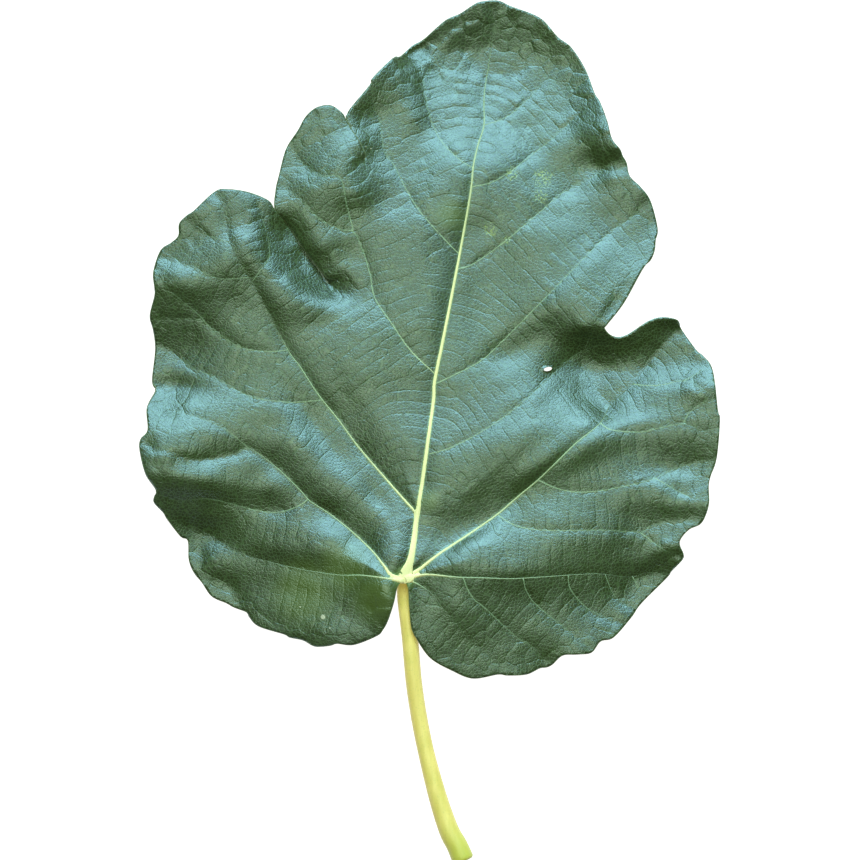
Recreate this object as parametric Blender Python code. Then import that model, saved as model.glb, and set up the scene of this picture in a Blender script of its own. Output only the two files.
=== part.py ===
"""A fig leaf with its stalk, lying on a surface with its upper side up.

Metres, +Z up. The origin is on the resting surface, under the middle of the whole leaf's width and length.
+Y runs to the leaf's tip, along the drawing's upright lines, and +X to the right as seen from above.
"""

import math

import bmesh
import bpy
import numpy as np
from mathutils import Vector
from mathutils.geometry import delaunay_2d_cdt

# Driving dimensions, in millimetres
BLADE_LENGTH = 174.0  # from the junction to the tip
BLADE_THICKNESS = 0.7
GAP = 0.35  # between the blade and the ribs that run through and under it
STALK_RADIUS = 2.32
STALK_END_RADIUS = 3.15
STALK_TOP_HEIGHT = 4.7  # of the stalk's axis where it meets the blade
MESH_STEP = 4.2  # of the blade's triangles
MARGIN_STEP = 2.6
MERGE_WITHIN = 0.02
INSIDE_ONLY = 1  # the triangulation's mode that keeps what lies within the outlines

# Plan positions are squares of the drawing that the leaf was traced on: x runs right, and y from the tip down
JUNCTION_Y = 580.0
TIP_Y = 0.0
MIDDLE = (430.0, 432.8)  # of the whole leaf's width and length
SQUARE = BLADE_LENGTH / (JUNCTION_Y - TIP_Y)

# The margin, clockwise as seen from above, from the stalk's left side
LEFT_BASAL_LOBE = [
    (398, 586), (394, 603), (388, 621), (383, 630), (377, 636), (354, 645), (337, 644), (330, 646),
    (315, 647), (303, 641), (289, 638), (284, 635), (258, 627), (248, 617), (246, 613), (233, 608),
    (226, 604), (211, 597), (201, 583), (193, 573), (188, 560), (187, 541), (180, 537), (167, 520),
    (163, 513), (154, 503), (154, 497), (156, 490),
]
LEFT_LOBE = [
    (146, 474), (140, 450), (141, 439), (148, 430), (147, 408), (155, 391), (153, 386), (152, 378),
    (155, 349), (153, 330), (150, 316), (155, 296), (155, 288), (154, 272), (161, 251), (172, 243),
    (179, 236), (180, 224), (189, 215), (194, 212), (216, 192), (230, 190), (250, 193), (269, 201),
]
LEFT_CLEFT = [
    (275, 209), (286, 222), (300, 237.5), (318, 259), (338, 283), (340, 281), (320, 256.5), (303, 235.5),
    (289, 220), (279, 207),
]
SMALL_LOBE = [
    (277, 190), (279, 178), (286, 150), (298, 131), (306, 117), (317, 108), (331, 106), (341, 114),
]
UPPER_CLEFT = [(344.5, 121), (353, 138), (364, 160), (366, 159), (356, 138), (346.5, 118.5)]
TOP_LOBE = [
    (347, 115), (351, 108), (370, 85), (372, 79), (393, 58), (400, 56), (412, 45), (424, 38),
    (445, 20), (460, 13), (474, 4), (482, 1), (498, 0), (512, 6), (540, 17), (558, 36),
    (572, 47), (586, 69), (595, 93), (600, 101), (607, 120), (612, 139), (620, 149), (623, 156),
    (627, 163), (630, 176), (641, 187), (651, 201), (658, 228), (656, 240), (655, 250), (651, 260),
    (643, 269), (624, 303), (607, 325),
]
RIGHT_LOBE = [
    (605, 329), (613, 336), (626, 335), (648, 321), (662, 317), (676, 319), (680, 323), (682, 329),
    (697, 350), (704, 356), (713, 370), (718, 410), (720, 420), (717, 458), (711, 476), (709, 486),
    (709, 505), (702, 523), (689, 530), (680, 542), (684, 554), (683, 560),
]
RIGHT_BASAL_LOBE = [
    (672, 572), (668, 578), (642, 604), (632, 618), (614, 638), (601, 642), (592, 653), (578, 655),
    (563, 656), (553, 665), (547, 668), (540, 669), (527, 675), (508, 676), (498, 675), (473, 679),
    (452, 671), (430, 658), (416, 638), (411, 626), (409, 605), (408, 588), (404, 581),
]
MARGIN = (
    LEFT_BASAL_LOBE + LEFT_LOBE + LEFT_CLEFT + SMALL_LOBE + UPPER_CLEFT + TOP_LOBE + RIGHT_LOBE
    + RIGHT_BASAL_LOBE
)
CLEFT_CORNERS = [LEFT_CLEFT[4], LEFT_CLEFT[5], UPPER_CLEFT[2], UPPER_CLEFT[3]]

# Ribs that fan out from the junction: route, half widths seen from above at the start and the end
# of the part that shows there, where that part ends along the route, and depth below the blade
MAIN_RIBS = {
    "midrib": ([
        (405, 580), (407, 571), (410.5, 560), (414, 540), (417, 515), (422.5, 480), (428, 440), (433.5, 400),
        (434.5, 382), (442, 345), (449, 310), (459.5, 255), (468.5, 205), (471.5, 185), (478, 145),
        (484, 125), (484, 105), (486, 86),
    ], 0.95, 0.3, 0.93, 2.3, 0.7),
    "upper_left_rib": ([
        (417, 514), (408, 504), (385, 478), (358, 446.5), (340, 422), (317.5, 393.5), (300, 366.5),
        (288, 350), (262, 300), (245, 270), (230, 240), (226, 218),
    ], 0.45, 0.3, 0.72, 1.6, 0.7),
    "lower_left_rib": ([
        (404, 580), (389, 575), (379, 562), (369, 549), (349, 530), (329, 513.5), (310, 501), (300, 490),
        (276, 467), (250, 449), (235, 454), (210, 459), (188, 459), (170, 452),
    ], 0.45, 0.3, 0.6, 1.6, 0.6),
    "left_basal_rib": ([
        (404, 580), (380, 577), (360, 575), (340, 575), (310, 571), (285, 566), (262, 560), (247, 556),
        (225, 545), (206, 534),
    ], 0.3, 0.3, 0.0, 1.2, 0.6),
    "upper_right_rib": ([
        (405, 580), (410, 576), (420, 568.5), (440, 553), (460.5, 539.5), (480, 526.5), (499, 513),
        (517, 497.5), (538, 480), (556, 462.5), (576, 443), (600, 423), (612, 403), (633, 384),
        (652, 358), (664, 344),
    ], 0.45, 0.3, 0.66, 1.6, 0.6),
    "right_rib": ([
        (405, 579), (418, 575), (431, 574.5), (457, 577), (480, 577.5), (509, 578.5), (533, 577.5),
        (580, 574.5), (600, 574), (622, 577),
    ], 0.35, 0.28, 0.7, 1.3, 0.6),
    "right_basal_rib": ([
        (405, 580), (412, 581), (430, 592), (443, 609), (468, 638), (485, 653),
    ], 0.3, 0.3, 0.0, 1.1, 0.6),
}
# Side ribs, which stand out below the blade only
SIDE_RIBS = [
    [(427, 454.5), (448, 448.5), (472, 437), (503, 417.5), (527, 398), (549, 378), (577, 354), (596, 347)],
    [(435, 384), (452, 376), (481, 360.5), (504, 339.5), (545, 298), (578, 264), (610, 232), (632, 217)],
    [(457, 269), (473, 264), (506, 240.5), (539, 212.5), (562, 193), (592, 177), (606, 173)],
    [(471.5, 187), (490, 183), (508, 173), (535, 152), (552, 138)],
    [(484, 125), (510, 114), (535, 90)],
    [(435, 374), (411, 351), (392, 324), (375, 298), (370, 274), (362, 247), (354, 232), (340, 229),
     (318, 217), (302, 201)],
    [(354, 232), (347, 205), (340, 178), (320, 176), (304, 162)],
    [(459, 254), (446, 241), (421, 213), (406, 189), (395, 167), (384, 150), (382, 128)],
    [(473, 168), (460, 160), (440, 139), (428, 110), (425, 90)],
    [(288, 350), (270, 351.5), (240, 347), (210, 327), (197, 319.5), (172, 319)],
    [(322, 400), (300, 402), (285, 402), (250, 396), (210, 375), (190, 367), (170, 354)],
    [(249, 278), (220, 279), (190, 267), (172, 260)],
    [(252, 283), (263, 268), (270, 255), (267, 233), (262, 216)],
    [(250, 449), (225, 429), (208, 422)],
    [(308, 499), (300, 505), (280, 512), (255, 510), (210, 499), (186, 500)],
    [(600, 423), (612, 430), (640, 432), (655, 429), (683, 424), (700, 430)],
    [(538, 480), (556, 488), (577, 492), (605, 490), (650, 480), (672, 470), (698, 462)],
    [(497, 514), (512, 524), (532, 529), (560, 530.5), (600, 530), (640, 532), (652, 542), (664, 548)],
    [(463, 577), (468, 590), (485, 608), (515, 636), (530, 645)],
    [(523, 578), (527, 592), (540, 608), (580, 640)],
    [(568, 575), (571, 590), (587, 608), (606, 618)],
    [(605, 574), (615, 596), (620, 601)],
]

# Heights of the blade's underside above the surface, in millimetres, at places on the drawing
HEIGHTS = [
    # Left lobe: three waves that run in from the margin
    (158, 257, 10.2), (154, 276, 10.8), (152, 326, 7.0), (153, 386, 6.2), (148, 432, 10.0), (142, 456, 9.0),
    (148, 476, 9.8), (155, 500, 6.3), (182, 222, 12.0), (180, 243, 10.6), (180, 278, 11.4), (180, 330, 7.2),
    (180, 388, 6.5), (180, 437, 10.2), (180, 456, 9.2), (180, 475, 10.0), (180, 512, 4.6), (180, 535, 2.4),
    (208, 200, 12.3), (210, 242, 10.7), (210, 280, 11.3), (210, 325, 8.2), (210, 386, 7.4), (210, 437, 9.8),
    (210, 456, 9.0), (210, 476, 9.9), (210, 508, 5.3), (212, 541, 1.8), (210, 556, 2.5), (206, 572, 1.4),
    (211, 593, -0.9), (226, 600, -0.9), (240, 192, 11.6), (240, 232, 10.9), (240, 270, 10.8),
    (240, 300, 9.6), (240, 345, 8.4), (240, 386, 7.7), (240, 430, 8.9), (240, 454, 8.5), (240, 478, 9.5),
    (240, 503, 6.6), (240, 535, 3.8), (240, 570, 2.3), (240, 607, 0.2), (268, 200, 10.4), (262, 235, 9.9),
    (272, 272, 10.0), (270, 330, 8.9), (270, 380, 8.3), (270, 425, 9.0), (272, 463, 8.0), (270, 484, 8.8),
    (270, 508, 6.8), (270, 545, 4.6), (270, 585, 3.0), (270, 630, 0.9),
    # Between the left ribs and the midrib
    (290, 284, 9.3), (300, 330, 9.0), (300, 367, 8.6), (300, 415, 9.1), (300, 450, 9.3), (300, 490, 7.4),
    (300, 512, 8.3), (300, 545, 6.3), (300, 580, 4.8), (300, 612, 3.6), (303, 641, 2.2), (318, 306, 8.9),
    (330, 350, 8.9), (330, 411, 8.2), (330, 445, 9.2), (330, 475, 8.9), (332, 516, 7.2), (330, 536, 8.5),
    (330, 565, 6.8), (330, 600, 5.6), (333, 645, 4.2), (347, 318, 8.6), (378, 325, 8.6), (362, 370, 9.3),
    (378, 418, 9.5), (362, 452, 7.8), (352, 490, 8.6), (360, 540, 7.3), (356, 560, 8.4), (360, 580, 7.2),
    (360, 605, 6.3), (362, 641, 5.3), (395, 345, 8.3), (400, 385, 8.7), (400, 440, 9.0), (386, 480, 7.6),
    (382, 518, 8.4), (395, 545, 8.2), (388, 600, 7.1), (382, 630, 6.0), (405, 578, 7.6), (398, 570, 7.5),
    # Small lobe and the creases that its clefts end in
    (286, 236, 7.2), (303, 260, 6.3), (322, 282, 5.9), (345, 293, 6.8), (302, 226, 9.2), (322, 248, 9.3),
    (342, 268, 8.4), (325, 107, 9.8), (300, 128, 9.4), (284, 160, 8.8), (277, 192, 9.2), (280, 209, 9.4),
    (302, 176, 8.7), (312, 150, 9.2), (312, 200, 9.3), (332, 140, 9.4), (340, 175, 9.9), (342, 215, 8.9),
    (350, 250, 8.3), (362, 195, 9.2), (349, 141, 8.2), (362, 160, 7.6), (375, 177, 7.7),
    # Top lobe: a hollow before the tip, which curls up a little
    (358, 102, 8.8), (373, 80, 8.4), (388, 64, 7.4), (380, 108, 6.8), (398, 90, 5.6), (412, 48, 4.8),
    (400, 125, 5.6), (378, 140, 6.6), (395, 160, 6.5), (398, 215, 8.4), (372, 245, 8.3), (400, 265, 8.3),
    (385, 290, 8.0), (430, 33, 3.2), (430, 65, 1.8), (425, 105, 3.8), (430, 145, 6.2), (430, 190, 7.9),
    (435, 230, 8.4), (430, 290, 8.4), (430, 335, 8.3), (452, 18, 3.2), (455, 52, 0.6), (460, 90, 1.7),
    (460, 130, 4.7), (458, 168, 7.6), (490, 1, 4.2), (485, 30, 1.9), (492, 58, -0.9), (490, 95, 1.0),
    (500, 130, 3.9), (495, 165, 7.2), (485, 240, 7.4), (485, 290, 8.0), (475, 340, 8.2), (450, 400, 8.7),
    (468, 420, 8.9), (520, 10, 3.2), (525, 62, -0.9), (530, 100, 1.0), (530, 140, 4.2), (528, 175, 6.6),
    (525, 230, 7.2), (525, 290, 7.3), (515, 340, 7.4), (512, 372, 7.2), (498, 400, 8.1), (558, 37, 2.4),
    (560, 75, 0.4), (565, 112, 1.8), (560, 150, 4.2), (560, 185, 5.2), (565, 230, 5.8), (565, 280, 6.6),
    (560, 315, 7.4), (550, 345, 5.2), (545, 372, 5.2), (588, 75, 2.2), (600, 103, 4.2), (585, 135, 4.2),
    (603, 147, 6.0), (596, 166, 2.6), (595, 192, 4.4), (618, 150, 6.8), (624, 166, 3.8), (615, 193, 4.6),
    (612, 216, 3.7), (600, 260, 5.4), (600, 300, 7.4), (604, 326, 7.2), (582, 322, 7.6), (640, 190, 4.8),
    (650, 222, 3.2), (630, 225, 3.6), (630, 265, 5.4), (645, 262, 5.2), (627, 297, 7.0), (655, 240, 4.2),
    # Between the midrib and the upper right rib, with the hollow below the sinus
    (580, 345, 3.6), (575, 369, 3.1), (605, 369, 2.3), (615, 338, 5.6), (605, 350, 3.2), (585, 398, 5.0),
    (560, 400, 5.9), (530, 400, 7.2), (620, 400, 4.4), (430, 500, 8.4), (450, 470, 9.3), (480, 450, 9.3),
    (515, 435, 9.0), (550, 430, 8.2), (585, 424, 7.0), (450, 510, 8.0), (480, 492, 7.8), (515, 468, 7.8),
    (545, 455, 7.3), (450, 547, 6.6), (480, 526, 6.2), (515, 499, 5.9), (540, 478, 6.0), (570, 449, 6.3),
    (600, 424, 6.2), (430, 569, 7.9), (460, 565, 8.4), (490, 562, 8.6), (520, 558, 8.2), (550, 551, 7.6),
    (580, 540, 6.7), (500, 530, 6.9), (540, 512, 6.9), (530, 535, 7.2),
    # Right lobe: waves along its side ribs
    (640, 326, 6.0), (662, 318, 6.2), (678, 322, 5.2), (640, 348, 2.8), (660, 342, 3.0), (635, 368, 2.0),
    (665, 366, 2.0), (688, 340, 3.0), (692, 362, 2.6), (655, 400, 4.3), (690, 400, 4.8), (714, 385, 4.4),
    (630, 432, 5.4), (660, 433, 5.5), (690, 434, 5.5), (719, 430, 5.7), (600, 462, 4.9), (632, 466, 3.6),
    (662, 466, 3.4), (692, 464, 3.9), (714, 468, 4.4), (575, 492, 6.0), (600, 488, 5.2), (632, 488, 4.3),
    (662, 488, 4.2), (690, 486, 4.4), (709, 497, 4.4), (570, 514, 6.4), (600, 512, 4.9), (632, 516, 2.9),
    (662, 516, 2.6), (692, 512, 3.0), (690, 529, 3.9), (610, 532, 5.4), (640, 540, 3.6), (662, 548, 3.6),
    (681, 550, 3.4), (660, 536, 3.3),
    # Right basal lobe
    (425, 582, 7.6), (450, 577, 7.8), (480, 577, 7.8), (512, 578, 7.3), (545, 577, 6.2), (575, 575, 4.8),
    (600, 575, 3.4), (625, 562, 3.0), (645, 570, 1.4), (642, 583, -0.7), (658, 578, -0.7), (418, 605, 7.2),
    (425, 640, 6.4), (450, 612, 6.4), (452, 668, 4.2), (480, 610, 6.0), (480, 676, 3.4), (515, 606, 5.4),
    (512, 675, 3.0), (490, 645, 4.5), (545, 604, 4.2), (575, 603, 2.8), (605, 602, 1.3), (632, 603, 0.2),
    (545, 630, 4.0), (548, 664, 1.6), (575, 632, 3.0), (578, 653, 3.0), (605, 632, 1.9), (604, 641, 2.0),
    (628, 621, 1.0), (651, 592, 0.0),
]
NUDGE = 0.4  # step over which a slope is measured
SLACK = 6.0  # lets the surface pass a little beside its heights, which rounds it

# Low swells and hollows of the fresh sheet between those heights: centre, half lengths along and across in
# squares, turn of the first one in degrees from the right towards the tip, and rise in millimetres
SWELLS = [
    # Left lobe
    (245, 252, 48, 26, 5, 1.8), (222, 214, 26, 16, 40, 0.5), (178, 284, 34, 16, 0, 0.9),
    (172, 350, 34, 20, 0, -1.1), (166, 402, 20, 18, 90, -1.2), (170, 454, 32, 12, 0, 1.9),
    (190, 478, 45, 12, -10, 0.9), (200, 532, 45, 14, -15, -0.8), (254, 477, 26, 12, 0, -0.8),
    (285, 508, 50, 16, -20, -1.4), (285, 548, 45, 12, -8, 0.7), (285, 590, 45, 12, -8, -0.4),
    (322, 634, 50, 16, 0, 0.9), (235, 206, 30, 22, 0, 0.8), (238, 237, 20, 14, 0, 0.5),
    (282, 280, 28, 14, -30, 0.5), (176, 386, 30, 11, -8, -1.2), (178, 440, 30, 12, 0, 0.4),
    (272, 425, 24, 12, 0, -0.5), (225, 478, 36, 18, 0, -0.5), (202, 560, 22, 14, -50, -0.7),
    # Between the left ribs and the midrib
    (305, 510, 26, 12, 0, -0.3), (378, 497, 22, 10, -50, -0.7), (425, 500, 12, 18, 90, 0.5),
    (322, 436, 48, 17, -50, -2.0), (300, 400, 30, 14, -50, -0.7), (384, 566, 40, 22, 50, 2.5),
    (390, 600, 20, 26, 0, 2.1), (320, 322, 20, 14, 0, -0.8), (360, 425, 26, 40, -50, -0.5),
    # Small lobe and its clefts
    (352, 150, 24, 18, 60, 1.8), (312, 190, 34, 26, 20, 1.3), (338, 238, 30, 10, -55, -0.3),
    (306, 251, 32, 7, -50, -1.6), (347, 258, 18, 14, 0, -0.5), (340, 160, 40, 34, 60, 0.5),
    (370, 172, 14, 12, 0, 0.4),
    # Top lobe
    (410, 112, 18, 12, 90, 0.5), (368, 120, 14, 14, 0, -0.9), (420, 118, 12, 14, 0, 0.4),
    (512, 350, 26, 14, 30, -0.5), (530, 214, 40, 16, 0, -0.6), (480, 228, 18, 14, 0, -0.5),
    (440, 130, 16, 24, 90, -0.5), (515, 155, 34, 16, 0, -0.4), (542, 168, 26, 20, 0, -0.5),
    (606, 178, 26, 9, 5, 0.8), (632, 222, 24, 16, 0, 0.4), (615, 305, 24, 8, 55, -0.8),
    (405, 95, 26, 20, 90, 0.9), (416, 48, 20, 10, 30, -2.5), (536, 146, 24, 14, -30, -0.6),
    (526, 128, 32, 16, 0, -0.8), (556, 186, 45, 22, 0, -1.3), (495, 192, 30, 20, 0, -0.7),
    (385, 202, 30, 18, 0, -0.9), (418, 160, 30, 18, 70, -0.7), (585, 270, 40, 18, 45, 0.9),
    (486, 300, 72, 40, 80, -2.5), (524, 345, 40, 16, 30, -0.9), (430, 405, 60, 30, 0, -1.3),
    # Right lobe and the hollow below the sinus
    (580, 352, 24, 14, 0, -0.8), (606, 408, 22, 14, -50, -1.0), (700, 394, 20, 12, 0, 0.6),
    (515, 440, 40, 16, 35, 0.7), (565, 402, 12, 12, 0, 0.4), (690, 490, 20, 8, 10, -0.6),
    (635, 484, 28, 8, 10, 0.4), (632, 550, 26, 10, 0, -0.4), (590, 328, 30, 9, 5, 0.9),
    (586, 366, 34, 12, 5, -1.0), (590, 388, 40, 24, 30, -1.7), (672, 328, 24, 12, 0, -1.5),
    (705, 385, 26, 18, 0, 1.0), (626, 404, 26, 16, 10, -0.5), (558, 458, 52, 20, 27, 2.6),
    (625, 468, 28, 16, 0, 0.9), (692, 474, 22, 18, 0, -0.8), (650, 502, 60, 22, 5, 1.5),
    (692, 505, 24, 14, 0, 0.6), (668, 548, 16, 8, 20, 0.7),
    # Right basal lobe
    (545, 528, 60, 24, 8, 0.4), (470, 598, 30, 28, 0, 0.8), (455, 552, 50, 18, 15, 1.9),
    (490, 574, 62, 16, 0, 1.2), (640, 625, 20, 12, 50, -0.6), (450, 605, 26, 16, -50, 0.6),
]

# Sharp folds: the two ends of the crest, its rise in millimetres and its reach to each side in squares
FOLDS = [((448, 506), (534, 437), 0.45, 9)]
FOLD_ROUNDING = 1.2
FOLD_END = 0.25  # share of the crest over which it rises from each end

# Valleys that the ribs lie in: depth and reach in millimetres
MAIN_VALLEYS = {
    "midrib": 0.6, "upper_left_rib": 0.9, "lower_left_rib": 1.0, "left_basal_rib": 0.4,
    "upper_right_rib": 0.9, "right_rib": 0.3, "right_basal_rib": 0.25,
}
MAIN_REACH = 3.0
VALLEY_ROUNDING = 1.0
SIDE_VALLEY = 0.25
SIDE_REACH = 2.0

# The stalk's axis seen from above, from the junction to the cut end
STALK_ROUTE = [
    (404.8, 577), (404.5, 585), (405, 600), (409.5, 634), (415, 687), (425, 741), (440, 794), (450, 830),
    (458, 846), (465.2, 859.5),
]
STALK_SIDES = 14
STALK_STEP = 6.0
STALK_DOWN_AT = 50.0  # distance from the junction at which it reaches the surface
STALK_NECK = (14.0, 0.1)  # length of the narrower top, and the share of the radius that it loses
STALK_FLARE = (34.0, 1.1)  # length of the thicker end, and the power by which it widens
CUT_BEVEL = (0.9, 0.28)  # length of the rounded cut end, and the share of the radius that it loses
REST_FLAT = 0.08  # height up to which its underside is flattened where it lies
HUB_CENTRE = (404.5, 577.5)
HUB_HALF = (2.9, 1.9)  # half axes of the pale boss that the ribs leave from
HUB_RISE = 0.3
HUB_SIDES = 20
HUB_NARROWING = (0.75, 0.7)  # of the boss at its foot and at its top
RIB_RISE = 0.12  # of the ribs above the blade's upper side
KEEL_SHOULDER = 0.65  # how far the keel reaches past a rib's part that shows
SIDE_KEEL = (0.55, 0.4)  # half widths of a side rib at its two ends
SIDE_DEPTH = (0.9, 0.5)
KEEL_LIFT = 0.05  # keeps side ribs clear of lying flush with the main ones
KEEL_WAIST = (0.85, 0.55)  # share of the half width left at this share of the depth
KEEL_FOOT = 0.35  # share of the half width left at the bottom
STRIP_FOOT = 0.25  # how far a rib's part that shows reaches into its keel
RIB_STEP = 5.5


def plan(points):
    """Points of the drawing as millimetres from its middle."""
    squares = np.array(points, float).reshape(-1, 2)
    return (squares - MIDDLE) * (SQUARE, -SQUARE)


def smooth_curve(points, step, closed=False, corners=()):
    """A Catmull-Rom curve through the points, cut into pieces of about this length; corners stay sharp."""
    points = np.array(points, float)
    count = len(points)
    curve = []
    for i in range(count if closed else count - 1):
        b, c = points[i], points[(i + 1) % count]
        a = points[i - 1] if closed or i else 2 * b - c
        d = points[(i + 2) % count] if closed or i + 2 < count else 2 * c - b
        out = (c - b if i in corners else (c - a) / 2)
        back = (c - b if (i + 1) % count in corners else (d - b) / 2)
        pieces = max(1, round(np.linalg.norm(c - b) / step))
        for t in np.arange(pieces) / pieces:
            curve.append(
                (2 * t**3 - 3 * t**2 + 1) * b + (t**3 - 2 * t**2 + t) * out
                + (3 * t**2 - 2 * t**3) * c + (t**3 - t**2) * back
            )
    if not closed:
        curve.append(points[-1])
    return np.array(curve)


def path_lengths(path):
    return np.append(0, np.cumsum(np.linalg.norm(np.diff(path, axis=0), axis=1)))


def directions(path):
    along = np.gradient(path, axis=0)
    return along / np.linalg.norm(along, axis=1)[:, None]


def distance_to(path, points):
    """Distance of each point to a path."""
    best = np.full(len(points), np.inf)
    for a, b in zip(path[:-1], path[1:]):
        along = b - a
        share = np.clip(((points - a) @ along) / (along @ along), 0, 1)
        best = np.minimum(best, np.linalg.norm(points - a - share[:, None] * along, axis=1))
    return best


def valley(distance, reach):
    """How much of a valley's depth there is at a distance from its rib."""
    return np.exp((VALLEY_ROUNDING - np.hypot(distance, VALLEY_ROUNDING)) / reach)


def swelling(points):
    """Rise of all the low swells together."""
    rise = np.zeros(len(points))
    for x, y, half_long, half_wide, turn, height in SWELLS:
        offset = (points - plan((x, y))) / SQUARE
        cos, sin = math.cos(math.radians(turn)), math.sin(math.radians(turn))
        along, across = offset @ (cos, sin), offset @ (-sin, cos)
        rise += height * np.exp(-(along / half_long) ** 2 - (across / half_wide) ** 2)
    return rise


def folding(points):
    """Rise of the sharp folds."""
    rise = np.zeros(len(points))
    for start, end, height, reach in FOLDS:
        start, end = plan(start)[0], plan(end)[0]
        length = np.linalg.norm(end - start)
        along = (points - start) @ (end - start) / length**2
        across = (points - start) @ np.array([start[1] - end[1], end[0] - start[0]]) / length
        ends = np.clip(np.minimum(along, 1 - along) / FOLD_END, 0, 1)
        sharp = np.exp((FOLD_ROUNDING - np.hypot(across / SQUARE, FOLD_ROUNDING)) / reach)
        rise += height * ends * ends * (3 - 2 * ends) * sharp
    return rise


def plate_weight(squared):
    return 0.5 * squared * np.log(np.maximum(squared, 1e-12))


class Blade:
    """The blade's upper and lower surface over the plan."""

    def __init__(self):
        table = np.array(HEIGHTS, float)
        self.centres = plan(table[:, :2])
        count = len(table)
        apart = ((self.centres[:, None] - self.centres[None]) ** 2).sum(2)
        system = np.zeros((count + 3, count + 3))
        system[:count, :count] = plate_weight(apart) + SLACK * np.eye(count)
        system[:count, count] = system[count, :count] = 1
        system[:count, count + 1:] = self.centres
        system[count + 1:, :count] = self.centres.T
        self.weights = np.linalg.solve(system, np.append(table[:, 2], [0, 0, 0]))
        self.main = [(plan(rib[0]), MAIN_VALLEYS[name]) for name, rib in MAIN_RIBS.items()]
        self.side = [plan(route) for route in SIDE_RIBS]

    def free_height(self, points):
        """Height of the underside before it meets the surface that the leaf lies on."""
        count = len(self.centres)
        height = self.weights[count] + points @ self.weights[count + 1:]
        for centre, weight in zip(self.centres, self.weights):
            height += weight * plate_weight(((points - centre) ** 2).sum(1))
        height += swelling(points) + folding(points)
        sunk = np.zeros(len(points))
        for route, depth in self.main:
            sunk = np.maximum(sunk, depth * valley(distance_to(route, points), MAIN_REACH))
        for route in self.side:
            sunk = np.maximum(sunk, SIDE_VALLEY * valley(distance_to(route, points), SIDE_REACH))
        return height - sunk

    def surfaces(self, points):
        """Heights of the underside and of the upper side, a blade's thickness apart at right angles to it."""
        points = np.array(points, float).reshape(-1, 2)
        low = self.free_height(points)
        slope_x = (self.free_height(points + (NUDGE, 0)) - low) / NUDGE
        slope_y = (self.free_height(points + (0, NUDGE)) - low) / NUDGE
        low = np.maximum(low, 0)
        return low, low + BLADE_THICKNESS * np.sqrt(1 + slope_x**2 + slope_y**2)


def right_of(path):
    """Unit steps to the right of a path, seen from above."""
    along = directions(path)
    return np.stack([along[:, 1], -along[:, 0]], axis=1)


def ribbon(path, half_widths):
    """The outline of a strip along a path, and its two sides."""
    across = right_of(path) * np.asarray(half_widths)[:, None]
    return path + across, path - across


def shown_part(name):
    """The path of the part of a rib that shows from above, and its half widths."""
    route, start, end, share, _, _ = MAIN_RIBS[name]
    path = smooth_curve(plan(route), RIB_STEP)
    lengths = path_lengths(path)
    keep = lengths <= share * lengths[-1]
    path, lengths = path[keep], lengths[keep]
    return path, start + (end - start) * lengths / lengths[-1]


def hub_outline(grown):
    angles = np.arange(HUB_SIDES) * math.tau / HUB_SIDES
    ring = np.stack([np.cos(angles), np.sin(angles)], axis=1)
    return plan(HUB_CENTRE) + ring * (np.array(HUB_HALF) + grown)


def new_object(name, points, faces, material):
    """A mesh object from points in millimetres."""
    mesh = bpy.data.meshes.new(name)
    mesh.from_pydata([tuple(p) for p in np.asarray(points) / 1000], [], [tuple(map(int, f)) for f in faces])
    solid = bmesh.new()
    solid.from_mesh(mesh)
    bmesh.ops.recalc_face_normals(solid, faces=solid.faces[:])
    solid.to_mesh(mesh)
    solid.free()
    mesh.materials.append(material)
    made = bpy.data.objects.new(name, mesh)
    bpy.context.scene.collection.objects.link(made)
    return made


def matte(name, colour, roughness):
    material = bpy.data.materials.new(name)
    material.use_nodes = True
    shader = material.node_tree.nodes["Principled BSDF"]
    shader.inputs["Base Color"].default_value = (*colour, 1)
    shader.inputs["Roughness"].default_value = roughness
    shader.inputs["Metallic"].default_value = 0
    material.diffuse_color = (*colour, 1)
    return material


def blade_plan():
    """Points and triangles of the blade seen from above, with slots for the ribs that show."""
    corners = {MARGIN.index(c) for c in CLEFT_CORNERS}
    margin = smooth_curve(plan(MARGIN), MARGIN_STEP, closed=True, corners=corners)
    slots = [hub_outline(GAP)]
    for name, rib in MAIN_RIBS.items():
        if rib[3] > 0:
            path, widths = shown_part(name)
            left, right = ribbon(path, widths + GAP)
            tip = path[-1] + directions(path)[-1] * (widths[-1] + GAP)
            slots.append(np.vstack([left, [tip], right[::-1]]))
    margin = margin[::-1]  # runs anticlockwise, as the triangulation needs
    walls = [np.vstack([outline, outline[:1]]) for outline in [margin, *slots]]
    low, high = margin.min(axis=0), margin.max(axis=0)
    row = MESH_STEP * math.sqrt(3) / 2
    grid = []
    for j, y in enumerate(np.arange(low[1], high[1], row)):
        grid += [(x, y) for x in np.arange(low[0] + (j % 2) * MESH_STEP / 2, high[0], MESH_STEP)]
    grid = np.array(grid)
    clear = np.min([distance_to(wall, grid) for wall in walls], axis=0)
    grid = grid[clear > MESH_STEP / 2]
    points = [margin, *slots, grid]
    starts = np.cumsum([0] + [len(p) for p in points])
    outlines = [list(range(starts[i], starts[i + 1])) for i in range(1 + len(slots))]
    flat, _, faces, _, _, origins = delaunay_2d_cdt(
        [Vector(p) for p in np.vstack(points)], [], outlines, INSIDE_ONLY, MERGE_WITHIN
    )
    kept = [face for face, origin in zip(faces, origins) if set(origin) == {0}]
    used = sorted({v for face in kept for v in face})
    renumbered = {old: new for new, old in enumerate(used)}
    triangles = []
    for face in kept:
        face = [renumbered[v] for v in face]
        triangles += [(face[0], face[k], face[k + 1]) for k in range(1, len(face) - 1)]
    return np.array([flat[v] for v in used]), triangles


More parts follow.
